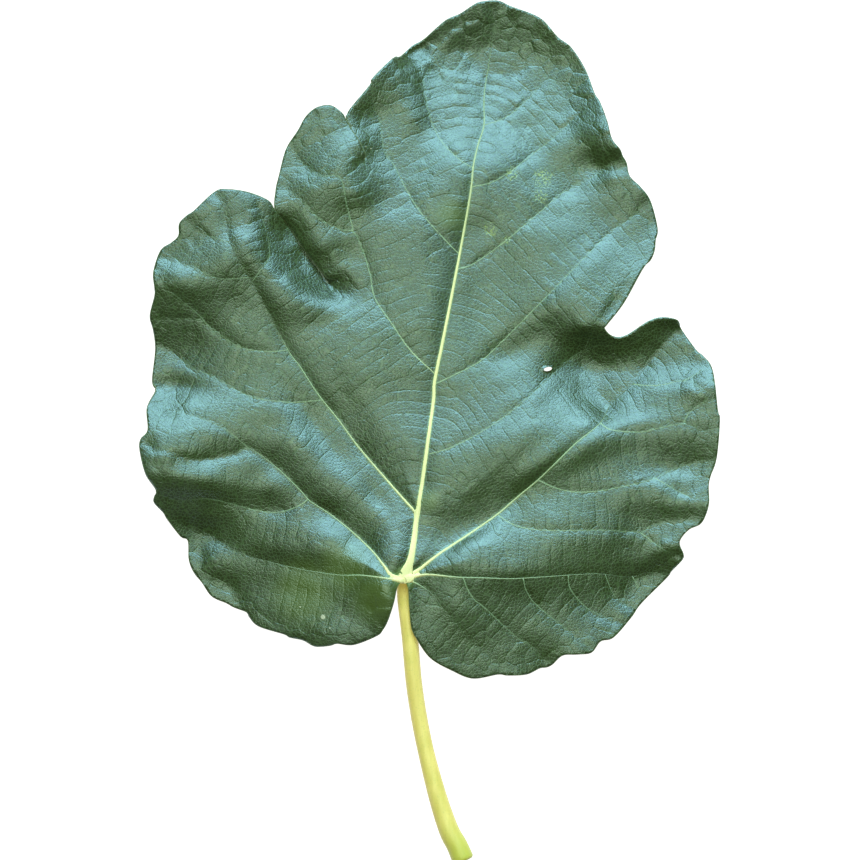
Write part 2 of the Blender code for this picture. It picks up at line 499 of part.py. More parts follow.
def make_blade(blade, material):
    """Both sides from one set of triangles, and a wall round every edge of it."""
    flat, triangles = blade_plan()
    count = len(flat)
    low, high = blade.surfaces(flat)
    edges = [edge for a, b, c in triangles for edge in ((a, b), (b, c), (c, a))]
    shared = {(b, a) for a, b in edges}
    faces = [(a, b, c) for a, b, c in triangles]
    faces += [(c + count, b + count, a + count) for a, b, c in triangles]
    for a, b in edges:
        if (a, b) not in shared:
            faces += [(b, a, a + count), (b, a + count, b + count)]
    points = np.vstack([np.column_stack([flat, high]), np.column_stack([flat, low])])
    return new_object("leaf_blade", points, faces, material)


def tube(name, rings, material):
    """A closed body through rings of equal numbers of points."""
    size = len(rings[0])
    points = np.vstack(rings)
    faces = [tuple(range(size))[::-1], tuple(range(len(points) - size, len(points)))]
    for i in range(len(rings) - 1):
        for k in range(size):
            a, b = i * size + k, i * size + (k + 1) % size
            faces.append((a, b, b + size, a + size))
    return new_object(name, points, faces, material)


def lofted_rib(name, blade, path, section, material):
    """A rib that follows the blade. Its section gives, at a share of the length, corners that are each
    a place across, whether it counts from the upper side, and a height from there."""
    across = right_of(path)
    rings = []
    for i, share in enumerate(np.linspace(0, 1, len(path))):
        corners = section(share)
        spots = np.array([path[i] + across[i] * offset for offset, _, _ in corners])
        low, high = blade.surfaces(spots)
        base = [high[k] if upper else low[k] for k, (_, upper, _) in enumerate(corners)]
        rings.append(np.column_stack([spots, np.array(base) + [rise for _, _, rise in corners]]))
    return tube(name, rings, material)


def keel_section(half, depth, lift):
    """Corners of a keel below the blade: wide under it and narrow at the bottom."""
    top = -GAP - lift
    waist, waist_down = KEEL_WAIST[0] * half, top - KEEL_WAIST[1] * depth
    foot, foot_down = KEEL_FOOT * half, top - depth
    return [
        (half, False, top), (waist, False, waist_down), (foot, False, foot_down),
        (-foot, False, foot_down), (-waist, False, waist_down), (-half, False, top),
    ]


def clear_of_surface(made):
    """Keeps a rib above the surface that the leaf lies on."""
    for vertex in made.data.vertices:
        vertex.co.z = max(vertex.co.z, 0.0)


def make_ribs(blade, material):
    """Each rib as its keel and, where it shows from above, the narrow strip that stands on it."""
    made = []
    for name, (route, start, end, share, deep, shallow) in MAIN_RIBS.items():
        path = smooth_curve(plan(route), RIB_STEP)

        def keel(along, start=start, end=end, deep=deep, shallow=shallow):
            half = KEEL_SHOULDER + start + (end - start) * along
            return keel_section(half, deep + (shallow - deep) * along, 0)

        made.append(lofted_rib(name + "_keel", blade, path, keel, material))
        if share > 0:
            path, widths = shown_part(name)

            def strip(along, path=path, widths=widths):
                half = np.interp(along, np.linspace(0, 1, len(path)), widths)
                foot = -GAP - STRIP_FOOT
                top = RIB_RISE
                return [(half, True, top), (half, False, foot), (-half, False, foot), (-half, True, top)]

            made.append(lofted_rib(name + "_strip", blade, path, strip, material))
    for number, route in enumerate(SIDE_RIBS):
        path = smooth_curve(plan(route), RIB_STEP)

        def side_keel(along):
            half = SIDE_KEEL[0] + (SIDE_KEEL[1] - SIDE_KEEL[0]) * along
            return keel_section(half, SIDE_DEPTH[0] + (SIDE_DEPTH[1] - SIDE_DEPTH[0]) * along, KEEL_LIFT)

        made.append(lofted_rib(f"side_rib_{number}", blade, path, side_keel, material))
    return made


def stalk_axis():
    """Points of the stalk's axis with their radii, from inside the boss to the cut end."""
    path = smooth_curve(plan(STALK_ROUTE), STALK_STEP)
    lengths = path_lengths(path)
    flare = np.clip(1 - (lengths[-1] - lengths) / STALK_FLARE[0], 0, 1) ** STALK_FLARE[1]
    neck = np.clip(1 - lengths / STALK_NECK[0], 0, 1)
    radii = STALK_RADIUS * (1 - STALK_NECK[1] * neck) + (STALK_END_RADIUS - STALK_RADIUS) * flare
    down = np.clip(lengths / STALK_DOWN_AT, 0, 1)
    down = down * down * (3 - 2 * down)
    height = radii + (STALK_TOP_HEIGHT - STALK_RADIUS) * (1 - down)
    return np.column_stack([path, height]), radii


def make_stalk(material):
    """A round bar along the axis, with one flat side down where it lies."""
    axis, radii = stalk_axis()
    along = directions(axis)
    axis = np.vstack([axis, axis[-1] + along[-1] * CUT_BEVEL[0]])
    along = np.vstack([along, along[-1:]])
    radii = np.append(radii, radii[-1] * (1 - CUT_BEVEL[1]))
    angles = (np.arange(STALK_SIDES) + 0.5) * math.tau / STALK_SIDES
    flat_share = math.cos(math.pi / STALK_SIDES)
    rings = []
    for centre, forward, radius in zip(axis, along, radii):
        across = np.cross(forward, (0, 0, 1))
        across /= np.linalg.norm(across)
        up = np.cross(across, forward)
        spokes = np.cos(angles)[:, None] * up - np.sin(angles)[:, None] * across
        ring = centre + spokes * radius / flat_share
        ring[ring[:, 2] < REST_FLAT, 2] = 0
        rings.append(ring)
    return tube("stalk_body", rings, material)


def make_hub(blade, material):
    """The boss through the blade that joins the ribs to the stalk."""
    rim = hub_outline(0)
    _, high = blade.surfaces(rim)
    _, middle = blade.surfaces(plan(HUB_CENTRE))
    foot, inner = [plan(HUB_CENTRE) + (rim - plan(HUB_CENTRE)) * share for share in HUB_NARROWING]
    rings = [
        np.column_stack([foot, np.full(len(rim), STALK_TOP_HEIGHT)]),
        np.column_stack([rim, high - BLADE_THICKNESS - GAP]),
        np.column_stack([rim, high + HUB_RISE / 2]),
        np.column_stack([inner, np.full(len(rim), middle[0] + HUB_RISE)]),
    ]
    return tube("hub", rings, material)


def fused(name, pieces, material):
    """One body of all the pieces."""
    first, others = pieces[0], pieces[1:]
    gathered = bpy.data.collections.new("to_fuse")
    bpy.context.scene.collection.children.link(gathered)
    for piece in others:
        bpy.context.scene.collection.objects.unlink(piece)
        gathered.objects.link(piece)
    union = first.modifiers.new("union", "BOOLEAN")
    union.operation = "UNION"
    union.solver = "EXACT"
    union.operand_type = "COLLECTION"
    union.collection = gathered
    union.use_self = False
    bpy.context.view_layer.update()
    graph = bpy.context.evaluated_depsgraph_get()
    mesh = bpy.data.meshes.new_from_object(first.evaluated_get(graph))
    for piece in pieces:
        bpy.data.objects.remove(piece)
    bpy.data.collections.remove(gathered)
    mesh.name = name
    mesh.materials.clear()
    mesh.materials.append(material)
    made = bpy.data.objects.new(name, mesh)
    bpy.context.scene.collection.objects.link(made)
    return made


def main():
    for old in list(bpy.data.objects):
        bpy.data.objects.remove(old)
    green = matte("leaf green", (0.075, 0.15, 0.095), 0.48)
    pale = matte("stalk yellow green", (0.66, 0.65, 0.27), 0.45)
    blade = Blade()
    leaf = make_blade(blade, green)
    ribs = make_ribs(blade, pale)
    for rib in ribs:
        clear_of_surface(rib)
    skeleton = fused("stalk_and_ribs", [make_stalk(pale), make_hub(blade, pale), *ribs], pale)
    for made in (leaf, skeleton):
        made.data.shade_smooth()
        made.data.set_sharp_from_angle(angle=math.radians(40))


main()
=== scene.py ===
"""The look of a fig leaf with its stalk, lying on a surface with its upper side up.

The waved blade has its cross veins, its fine net and the bulges between them, and the pale stalk runs on
into ribs that fan out over the blade. Functions work in millimetres from the middle of the leaf, and the
meshes are made in metres. Plan positions are squares of the drawing that the leaf was traced on: x runs
right, and y from the tip down, as in the part's own source.
"""

import math

import bpy
import numpy as np
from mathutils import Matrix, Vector
from mathutils.geometry import delaunay_2d_cdt
from mathutils.kdtree import KDTree

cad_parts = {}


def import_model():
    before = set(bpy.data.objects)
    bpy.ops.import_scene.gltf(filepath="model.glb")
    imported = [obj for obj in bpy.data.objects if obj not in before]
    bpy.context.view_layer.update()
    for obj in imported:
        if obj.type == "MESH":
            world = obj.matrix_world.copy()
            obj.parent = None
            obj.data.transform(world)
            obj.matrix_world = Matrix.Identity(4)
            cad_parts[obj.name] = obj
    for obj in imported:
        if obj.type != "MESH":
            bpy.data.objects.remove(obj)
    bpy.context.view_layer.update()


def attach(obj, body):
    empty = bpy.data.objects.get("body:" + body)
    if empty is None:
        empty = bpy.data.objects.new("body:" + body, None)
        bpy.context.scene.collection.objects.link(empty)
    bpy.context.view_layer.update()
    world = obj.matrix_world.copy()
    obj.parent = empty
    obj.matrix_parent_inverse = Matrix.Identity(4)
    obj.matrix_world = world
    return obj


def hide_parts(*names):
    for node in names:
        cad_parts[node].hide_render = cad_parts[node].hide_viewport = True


# Driving dimensions, in millimetres
BLADE_LENGTH = 174.0  # from the junction to the tip
SHEET_TOP = 0.62  # of the blade's upper side above its resting form
SHEET = 0.42  # thickness of the blade as it looks
EDGE_SHEET = 0.26  # thickness at the margin
STALK_RADIUS = 2.45
STALK_END_RADIUS = 3.3
STALK_TOP_HEIGHT = 4.7  # of the stalk's axis near the blade
STALK_RISE = (1.4, 4.0)  # what comes on top at the junction, and the length over which it goes
UPPER_STEP = 0.74  # of the triangles on the upper side
UNDER_STEP = 1.15
LINE_STEP = 0.62  # between the points along margin and ribs

JUNCTION_Y = 580.0
TIP_Y = 0.0
MIDDLE = (430.0, 432.8)  # of the whole leaf's width and length
SQUARE = BLADE_LENGTH / (JUNCTION_Y - TIP_Y)

# The margin, clockwise as seen from above, from the stalk's left side
LEFT_BASAL_LOBE = [
    (398, 586), (394, 603), (388, 621), (383, 630), (377, 636), (354, 645), (337, 644), (330, 646),
    (315, 647), (303, 641), (289, 638), (284, 635), (258, 627), (248, 617), (246, 613), (233, 608),
    (226, 604), (211, 597), (201, 583), (193, 573), (188, 560), (187, 541), (180, 537), (167, 520),
    (163, 513), (154, 503), (154, 497), (156, 490),
]
LEFT_LOBE = [
    (146, 474), (140, 450), (141, 439), (148, 430), (147, 408), (155, 391), (153, 386), (152, 378),
    (155, 349), (153, 330), (150, 316), (155, 296), (155, 288), (154, 272), (161, 251), (172, 243),
    (179, 236), (180, 224), (189, 215), (194, 212), (216, 192), (230, 190), (250, 193), (269, 201),
]
LEFT_CLEFT = [
    (275.5, 210), (285.7, 220.8), (301.3, 238.9), (318, 258.1), (338.9, 282.1), (339, 282),
    (318.5, 257.6), (302.3, 237.6), (286.9, 219.3), (277.4, 207.5),
]
SMALL_LOBE = [
    (277, 190), (279, 178), (286, 150), (298, 131), (306, 117), (317, 108), (331, 106), (341, 114),
]
UPPER_CLEFT = [(344.8, 120.6), (354, 137.9), (365, 159.7), (365.1, 159.6), (354.8, 137.6), (346, 119.2)]
TOP_LOBE = [
    (347, 115), (351, 108), (370, 85), (372, 79), (393, 58), (400, 56), (412, 45), (424, 38),
    (445, 20), (460, 13), (474, 4), (482, 1), (498, 0), (512, 6), (540, 17), (558, 36),
    (572, 47), (586, 69), (595, 93), (600, 101), (607, 120), (612, 139), (620, 149), (623, 156),
    (627, 163), (630, 176), (641, 187), (651, 201), (658, 228), (656, 240), (655, 250), (651, 260),
    (643, 269), (624, 303), (607, 325),
]
RIGHT_LOBE = [
    (605, 329), (613, 336), (626, 335), (648, 321), (662, 317), (676, 319), (680, 323), (682, 329),
    (697, 350), (704, 356), (713, 370), (718, 410), (720, 420), (717, 458), (711, 476), (709, 486),
    (709, 505), (702, 523), (689, 530), (680, 542), (684, 554), (683, 560),
]
RIGHT_BASAL_LOBE = [
    (672, 572), (668, 578), (642, 604), (632, 618), (614, 638), (601, 642), (592, 653), (578, 655),
    (563, 656), (553, 665), (547, 668), (540, 669), (527, 675), (508, 676), (498, 675), (473, 679),
    (452, 671), (430, 658), (416, 638), (411, 626), (409, 605), (408, 588), (404, 581),
]
MARGIN = (
    LEFT_BASAL_LOBE + LEFT_LOBE + LEFT_CLEFT + SMALL_LOBE + UPPER_CLEFT + TOP_LOBE + RIGHT_LOBE
    + RIGHT_BASAL_LOBE
)
CLEFT_CORNERS = [LEFT_CLEFT[4], LEFT_CLEFT[5], UPPER_CLEFT[2], UPPER_CLEFT[3]]
HOLE = ((548, 369), (4.2, 2.0), 12)  # centre, half axes and turn in degrees of a hole that an insect left
HOLE_SIDES = 16

# Yellower patches and small marks: centre and size in millimetres
YELLOWER = [
    (378, 596, 12.0), (345, 568, 12.0), (305, 592, 14.0), (428, 500, 5.0), (450, 215, 7.0),
]
MOTTLES = [(512, 174, 3.0), (543, 178, 4.0), (541, 196, 3.0), (490, 230, 3.0), (507, 240, 1.5)]
SCARS = [
    (323, 617, 0.9), (366, 147, 0.22), (371, 149, 0.25), (377, 151, 0.2), (330, 628, 0.3), (300, 607, 0.3),
]

# Main ribs: route, half widths as seen from above at shares of the route, half widths and depths of the
# keel below at its two ends, and depth of the valley that the rib lies in
MAIN_RIBS = {
    "midrib": (
        [(405, 580), (407, 571), (410.5, 560), (414, 540), (417, 515), (422.5, 480), (428, 440),
         (433.5, 400), (434.5, 382), (442, 345), (449, 310), (459.5, 255), (468.5, 205), (471.5, 185),
         (473.5, 165), (478, 145), (484, 125), (484, 105), (485, 88), (491, 50), (496, 10)],
        [(0, 2.6), (0.014, 2.1), (0.026, 1.35), (0.045, 1.0), (0.07, 0.88), (0.11, 0.72), (0.14, 0.58),
         (0.5, 0.42), (0.67, 0.32), (0.82, 0.22), (1, 0.07)],
        (1.6, 0.35), (2.5, 0.3), 0.6),
    "upper_left_rib": (
        [(417, 514), (408, 504), (385, 478), (358, 446.5), (340, 422), (317.5, 393.5), (300, 366.5),
         (288, 350), (262, 300), (245, 270), (236, 255), (230, 240), (228, 225), (223, 205), (216, 196)],
        [(0, 0.38), (0.35, 0.25), (0.52, 0.19), (0.6, 0.11), (1, 0.06)],
        (1.1, 0.35), (1.8, 0.3), 0.9),
    "lower_left_rib": (
        [(404, 579), (392, 575), (383, 564), (372, 550.5), (350, 530), (329, 513.5), (310, 501), (300, 490),
         (276, 467), (250, 449), (235, 454), (210, 459), (188, 459), (170, 452), (157, 450), (149, 445)],
        [(0, 1.5), (0.03, 0.8), (0.06, 0.42), (0.12, 0.30), (0.3, 0.23), (0.6, 0.15), (0.75, 0.1), (1, 0.06)],
        (1.1, 0.3), (1.8, 0.3), 1.0),
    "left_basal_rib": (
        [(404, 580), (380, 577), (360, 575), (340, 575), (310, 571), (285, 566), (262, 560), (247, 556),
         (225, 545), (206, 534), (192, 526)],
        [(0, 0.8), (0.06, 0.32), (0.3, 0.16), (1, 0.06)],
        (0.95, 0.3), (1.4, 0.3), 0.4),
    "upper_right_rib": (
        [(405, 580), (410, 576), (420, 568.5), (440, 553), (460.5, 539.5), (480, 526.5), (499, 513),
         (517, 497.5), (538, 480), (556, 462.5), (576, 443), (600, 423), (612, 403), (633, 384),
         (652, 358), (664, 344), (678, 330)],
        [(0, 1.6), (0.03, 0.85), (0.06, 0.46), (0.12, 0.37), (0.3, 0.30), (0.62, 0.22), (0.7, 0.12),
         (1, 0.06)],
        (1.1, 0.3), (1.8, 0.3), 0.9),
    "right_rib": (
        [(405, 579), (418, 575), (431, 574.5), (457, 577), (480, 577.5), (509, 578.5), (533, 577.5),
         (580, 574.5), (600, 574), (622, 577), (632, 577), (650, 572)],
        [(0, 0.9), (0.06, 0.38), (0.25, 0.22), (0.8, 0.12), (1, 0.06)],
        (1.0, 0.3), (1.5, 0.3), 0.3),
    "right_basal_rib": (
        [(405, 580), (412, 581), (430, 592), (443, 609), (468, 638), (485, 653), (500, 665)],
        [(0, 0.8), (0.07, 0.28), (0.2, 0.12), (1, 0.05)],
        (0.95, 0.3), (1.3, 0.3), 0.25),
}
# Side ribs, thin from above and round below: how pale each one is where it starts, and its route
SIDE_RIBS = [
    (0.35, [(427, 454.5), (448, 448.5), (472, 437), (503, 417.5), (527, 398), (549, 378), (577, 354),
     (610, 341)]),
    (0.1, [(585, 349), (591, 335), (597, 328)]),
    (0.6, [(435, 384), (452, 376), (481, 360.5), (504, 339.5), (545, 298), (578, 264), (610, 232),
     (628, 220), (640, 210), (648, 199)]),
    (0.5, [(457, 269), (473, 264), (506, 240.5), (539, 212.5), (562, 193), (592, 177), (620, 157)]),
    (0.4, [(471.5, 187), (490, 183), (508, 173), (535, 152), (558, 133), (580, 112)]),
    (0.25, [(484, 125), (510, 114), (540, 85), (556, 62)]),
    (1.0, [(435, 374), (411, 351), (392, 324), (375, 298), (370, 274), (362, 247), (354, 232), (340, 229),
     (318, 217), (308, 206), (285, 187)]),
    (0.35, [(354, 232), (347, 205), (340, 178), (320, 176), (302, 163), (291, 146)]),
    (0.5, [(459, 254), (446, 241), (421, 213), (406, 189), (395, 167), (384, 150), (380, 122), (372, 100)]),
    (0.3, [(473, 168), (460, 160), (440, 139), (428, 110), (424, 85), (415, 60)]),
    (0.3, [(288, 350), (270, 351.5), (240, 347), (210, 327), (197, 319.5), (160, 319)]),
    (0.3, [(322, 400), (300, 402), (285, 402), (250, 396), (210, 375), (190, 367), (170, 350), (160, 346)]),
    (0.2, [(249, 278), (220, 279), (190, 267), (164, 258)]),
    (0.15, [(230, 243), (200, 233), (188, 221)]),
    (0.2, [(252, 283), (263, 268), (270, 255), (267, 233), (258, 205)]),
    (0.2, [(210, 327), (198, 314), (172, 292), (159, 276)]),
    (0.2, [(250, 449), (225, 429), (200, 418), (165, 408)]),
    (0.35, [(308, 499), (300, 505), (280, 512), (255, 510), (210, 499), (182, 501), (166, 498)]),
    (0.3, [(683, 381), (695, 375), (706, 366)]),
    (0.35, [(633, 384), (648, 385.5), (664, 384.5), (683, 381), (700, 388), (712, 396)]),
    (0.45, [(600, 423), (612, 430), (640, 432), (655, 429), (683, 424), (704, 431), (717, 428)]),
    (0.3, [(683, 424), (689, 413), (704, 402), (714, 399)]),
    (0.5, [(538, 480), (556, 488), (577, 492), (605, 490), (650, 480), (672, 470), (700, 461), (712, 459)]),
    (0.3, [(655, 478), (688, 496), (706, 498)]),
    (0.45, [(497, 514), (512, 524), (532, 529), (560, 530.5), (600, 530), (640, 532), (650, 527),
     (672, 521), (700, 520)]),
    (0.35, [(641, 533), (666, 551), (681, 556)]),
    (0.35, [(463, 577), (468, 590), (475, 600), (485, 608), (515, 636), (530, 645), (545, 660)]),
    (0.3, [(523, 578), (527, 592), (540, 608), (590, 648)]),
    (0.3, [(568, 575), (571, 590), (587, 608), (608, 619), (624, 624)]),
    (0.25, [(605, 574), (615, 596), (632, 609)]),
    (0.25, [(633, 577), (640, 588), (650, 594)]),
]
SIDE_SHOWN = [(0, 0.22), (1, 0.09)]  # half widths as seen from above at shares of the route
SIDE_KEEL = (0.55, 0.25)  # half widths of the keel below at its two ends
SIDE_DEPTH = (0.95, 0.25)
PALE_POWER = 0.6  # by which a side rib's paleness fades towards its end
SIDE_TONE = 0.7  # tone of the palest side rib, as a share of the widest main rib's
RIB_TONES = ((0.06, 0.2, 0.45), (0, 0.5, 1))  # half widths of the main ribs, and the tones they have

# The stalk's axis seen from above, from the junction to the cut end
STALK_ROUTE = [
    (404.8, 577), (404.5, 585), (405, 600), (409.5, 634), (414.4, 687), (423.6, 741), (436.8, 794),
    (448.6, 830), (457, 846), (462.6, 859),
]
STALK_DOWN_AT = 50.0  # distance from the junction at which it reaches the surface
STALK_NECK = (14.0, 0.1)  # length of the narrower top, and the share of the radius that it loses
STALK_FLARE = (34.0, 1.1)  # length of the thicker end, and the power by which it widens
HUB_CENTRE = (404.5, 577.5)
HUB_HALF = (3.0, 1.8)
HUB_RISE = 0.25
HUB_GREEN = 4.5  # radius of the lighter green round it

HEIGHTS = [
    # Left lobe: three waves that run in from the margin
    (158, 257, 10.2), (154, 276, 10.8), (152, 326, 7.0), (153, 386, 6.2), (148, 432, 10.0), (142, 456, 9.0),
    (148, 476, 9.8), (155, 500, 6.3), (182, 222, 12.0), (180, 243, 10.6), (180, 278, 11.4), (180, 330, 7.2),
    (180, 388, 6.5), (180, 437, 10.2), (180, 456, 9.2), (180, 475, 10.0), (180, 512, 4.6), (180, 535, 2.4),
    (208, 200, 12.3), (210, 242, 10.7), (210, 280, 11.3), (210, 325, 8.2), (210, 386, 7.4), (210, 437, 9.8),
    (210, 456, 9.0), (210, 476, 9.9), (210, 508, 5.3), (212, 541, 1.8), (210, 556, 2.5), (206, 572, 1.4),
    (211, 593, -0.9), (226, 600, -0.9), (240, 192, 11.6), (240, 232, 10.9), (240, 270, 10.8),
    (240, 300, 9.6), (240, 345, 8.4), (240, 386, 7.7), (240, 430, 8.9), (240, 454, 8.5), (240, 478, 9.5),
    (240, 503, 6.6), (240, 535, 3.8), (240, 570, 2.3), (240, 607, 0.2), (268, 200, 10.4), (262, 235, 9.9),
    (272, 272, 10.0), (270, 330, 8.9), (270, 380, 8.3), (270, 425, 9.0), (272, 463, 8.0), (270, 484, 8.8),
    (270, 508, 6.8), (270, 545, 4.6), (270, 585, 3.0), (270, 630, 0.9),
    # Between the left ribs and the midrib
    (290, 284, 9.3), (300, 330, 9.0), (300, 367, 8.6), (300, 415, 9.1), (300, 450, 9.3), (300, 490, 7.4),
    (300, 512, 8.3), (300, 545, 6.3), (300, 580, 4.8), (300, 612, 3.6), (303, 641, 2.2), (318, 306, 8.9),
    (330, 350, 8.9), (330, 411, 8.2), (330, 445, 9.2), (330, 475, 8.9), (332, 516, 7.2), (330, 536, 8.5),
    (330, 565, 6.8), (330, 600, 5.6), (333, 645, 4.2), (347, 318, 8.6), (378, 325, 8.6), (362, 370, 9.3),
    (378, 418, 9.5), (362, 452, 7.8), (352, 490, 8.6), (360, 540, 7.3), (356, 560, 8.4), (360, 580, 7.2),
    (360, 605, 6.3), (362, 641, 5.3), (395, 345, 8.3), (400, 385, 8.7), (400, 440, 9.0), (386, 480, 7.6),
    (382, 518, 8.4), (395, 545, 8.2), (388, 600, 7.1), (382, 630, 6.0), (405, 578, 7.6), (398, 570, 7.5),
    # Small lobe and the creases that its clefts end in
    (286, 236, 7.2), (303, 260, 6.3), (322, 282, 5.9), (345, 293, 6.8), (302, 226, 9.2), (322, 248, 9.3),
    (342, 268, 8.4), (325, 107, 9.8), (300, 128, 9.4), (284, 160, 8.8), (277, 192, 9.2), (280, 209, 9.4),
    (302, 176, 8.7), (312, 150, 9.2), (312, 200, 9.3), (332, 140, 9.4), (340, 175, 9.9), (342, 215, 8.9),
    (350, 250, 8.3), (362, 195, 9.2), (349, 141, 8.2), (362, 160, 7.6), (375, 177, 7.7),
    # Top lobe: a hollow before the tip, which curls up a little
    (358, 102, 8.8), (373, 80, 8.4), (388, 64, 7.4), (380, 108, 6.8), (398, 90, 5.6), (412, 48, 4.8),
    (400, 125, 5.6), (378, 140, 6.6), (395, 160, 6.5), (398, 215, 8.4), (372, 245, 8.3), (400, 265, 8.3),
    (385, 290, 8.0), (430, 33, 3.2), (430, 65, 1.8), (425, 105, 3.8), (430, 145, 6.2), (430, 190, 7.9),
    (435, 230, 8.4), (430, 290, 8.4), (430, 335, 8.3), (452, 18, 3.2), (455, 52, 0.6), (460, 90, 1.7),
    (460, 130, 4.7), (458, 168, 7.6), (490, 1, 4.2), (485, 30, 1.9), (492, 58, -0.9), (490, 95, 1.0),
    (500, 130, 3.9), (495, 165, 7.2), (485, 240, 7.4), (485, 290, 8.0), (475, 340, 8.2), (450, 400, 8.7),
    (468, 420, 8.9), (520, 10, 3.2), (525, 62, -0.9), (530, 100, 1.0), (530, 140, 4.2), (528, 175, 6.6),
    (525, 230, 7.2), (525, 290, 7.3), (515, 340, 7.4), (512, 372, 7.2), (498, 400, 8.1), (558, 37, 2.4),
    (560, 75, 0.4), (565, 112, 1.8), (560, 150, 4.2), (560, 185, 5.2), (565, 230, 5.8), (565, 280, 6.6),
    (560, 315, 7.4), (550, 345, 5.2), (545, 372, 5.2), (588, 75, 2.2), (600, 103, 4.2), (585, 135, 4.2),
    (603, 147, 6.0), (596, 166, 2.6), (595, 192, 4.4), (618, 150, 6.8), (624, 166, 3.8), (615, 193, 4.6),
    (612, 216, 3.7), (600, 260, 5.4), (600, 300, 7.4), (604, 326, 7.2), (582, 322, 7.6), (640, 190, 4.8),
    (650, 222, 3.2), (630, 225, 3.6), (630, 265, 5.4), (645, 262, 5.2), (627, 297, 7.0), (655, 240, 4.2),
    # Between the midrib and the upper right rib, with the hollow below the sinus
    (580, 345, 3.6), (575, 369, 3.1), (605, 369, 2.3), (615, 338, 5.6), (605, 350, 3.2), (585, 398, 5.0),
    (560, 400, 5.9), (530, 400, 7.2), (620, 400, 4.4), (430, 500, 8.4), (450, 470, 9.3), (480, 450, 9.3),
    (515, 435, 9.0), (550, 430, 8.2), (585, 424, 7.0), (450, 510, 8.0), (480, 492, 7.8), (515, 468, 7.8),
    (545, 455, 7.3), (450, 547, 6.6), (480, 526, 6.2), (515, 499, 5.9), (540, 478, 6.0), (570, 449, 6.3),
    (600, 424, 6.2), (430, 569, 7.9), (460, 565, 8.4), (490, 562, 8.6), (520, 558, 8.2), (550, 551, 7.6),
    (580, 540, 6.7), (500, 530, 6.9), (540, 512, 6.9), (530, 535, 7.2),
    # Right lobe: waves along its side ribs
    (640, 326, 6.0), (662, 318, 6.2), (678, 322, 5.2), (640, 348, 2.8), (660, 342, 3.0), (635, 368, 2.0),
    (665, 366, 2.0), (688, 340, 3.0), (692, 362, 2.6), (655, 400, 4.3), (690, 400, 4.8), (714, 385, 4.4),
    (630, 432, 5.4), (660, 433, 5.5), (690, 434, 5.5), (719, 430, 5.7), (600, 462, 4.9), (632, 466, 3.6),
    (662, 466, 3.4), (692, 464, 3.9), (714, 468, 4.4), (575, 492, 6.0), (600, 488, 5.2), (632, 488, 4.3),
    (662, 488, 4.2), (690, 486, 4.4), (709, 497, 4.4), (570, 514, 6.4), (600, 512, 4.9), (632, 516, 2.9),
    (662, 516, 2.6), (692, 512, 3.0), (690, 529, 3.9), (610, 532, 5.4), (640, 540, 3.6), (662, 548, 3.6),
    (681, 550, 3.4), (660, 536, 3.3),
    # Right basal lobe
    (425, 582, 7.6), (450, 577, 7.8), (480, 577, 7.8), (512, 578, 7.3), (545, 577, 6.2), (575, 575, 4.8),
    (600, 575, 3.4), (625, 562, 3.0), (645, 570, 1.4), (642, 583, -0.7), (658, 578, -0.7), (418, 605, 7.2),
    (425, 640, 6.4), (450, 612, 6.4), (452, 668, 4.2), (480, 610, 6.0), (480, 676, 3.4), (515, 606, 5.4),
    (512, 675, 3.0), (490, 645, 4.5), (545, 604, 4.2), (575, 603, 2.8), (605, 602, 1.3), (632, 603, 0.2),
    (545, 630, 4.0), (548, 664, 1.6), (575, 632, 3.0), (578, 653, 3.0), (605, 632, 1.9), (604, 641, 2.0),
    (628, 621, 1.0), (651, 592, 0.0),
]
SLACK = 6.0  # lets the surface pass a little beside its heights, which rounds it

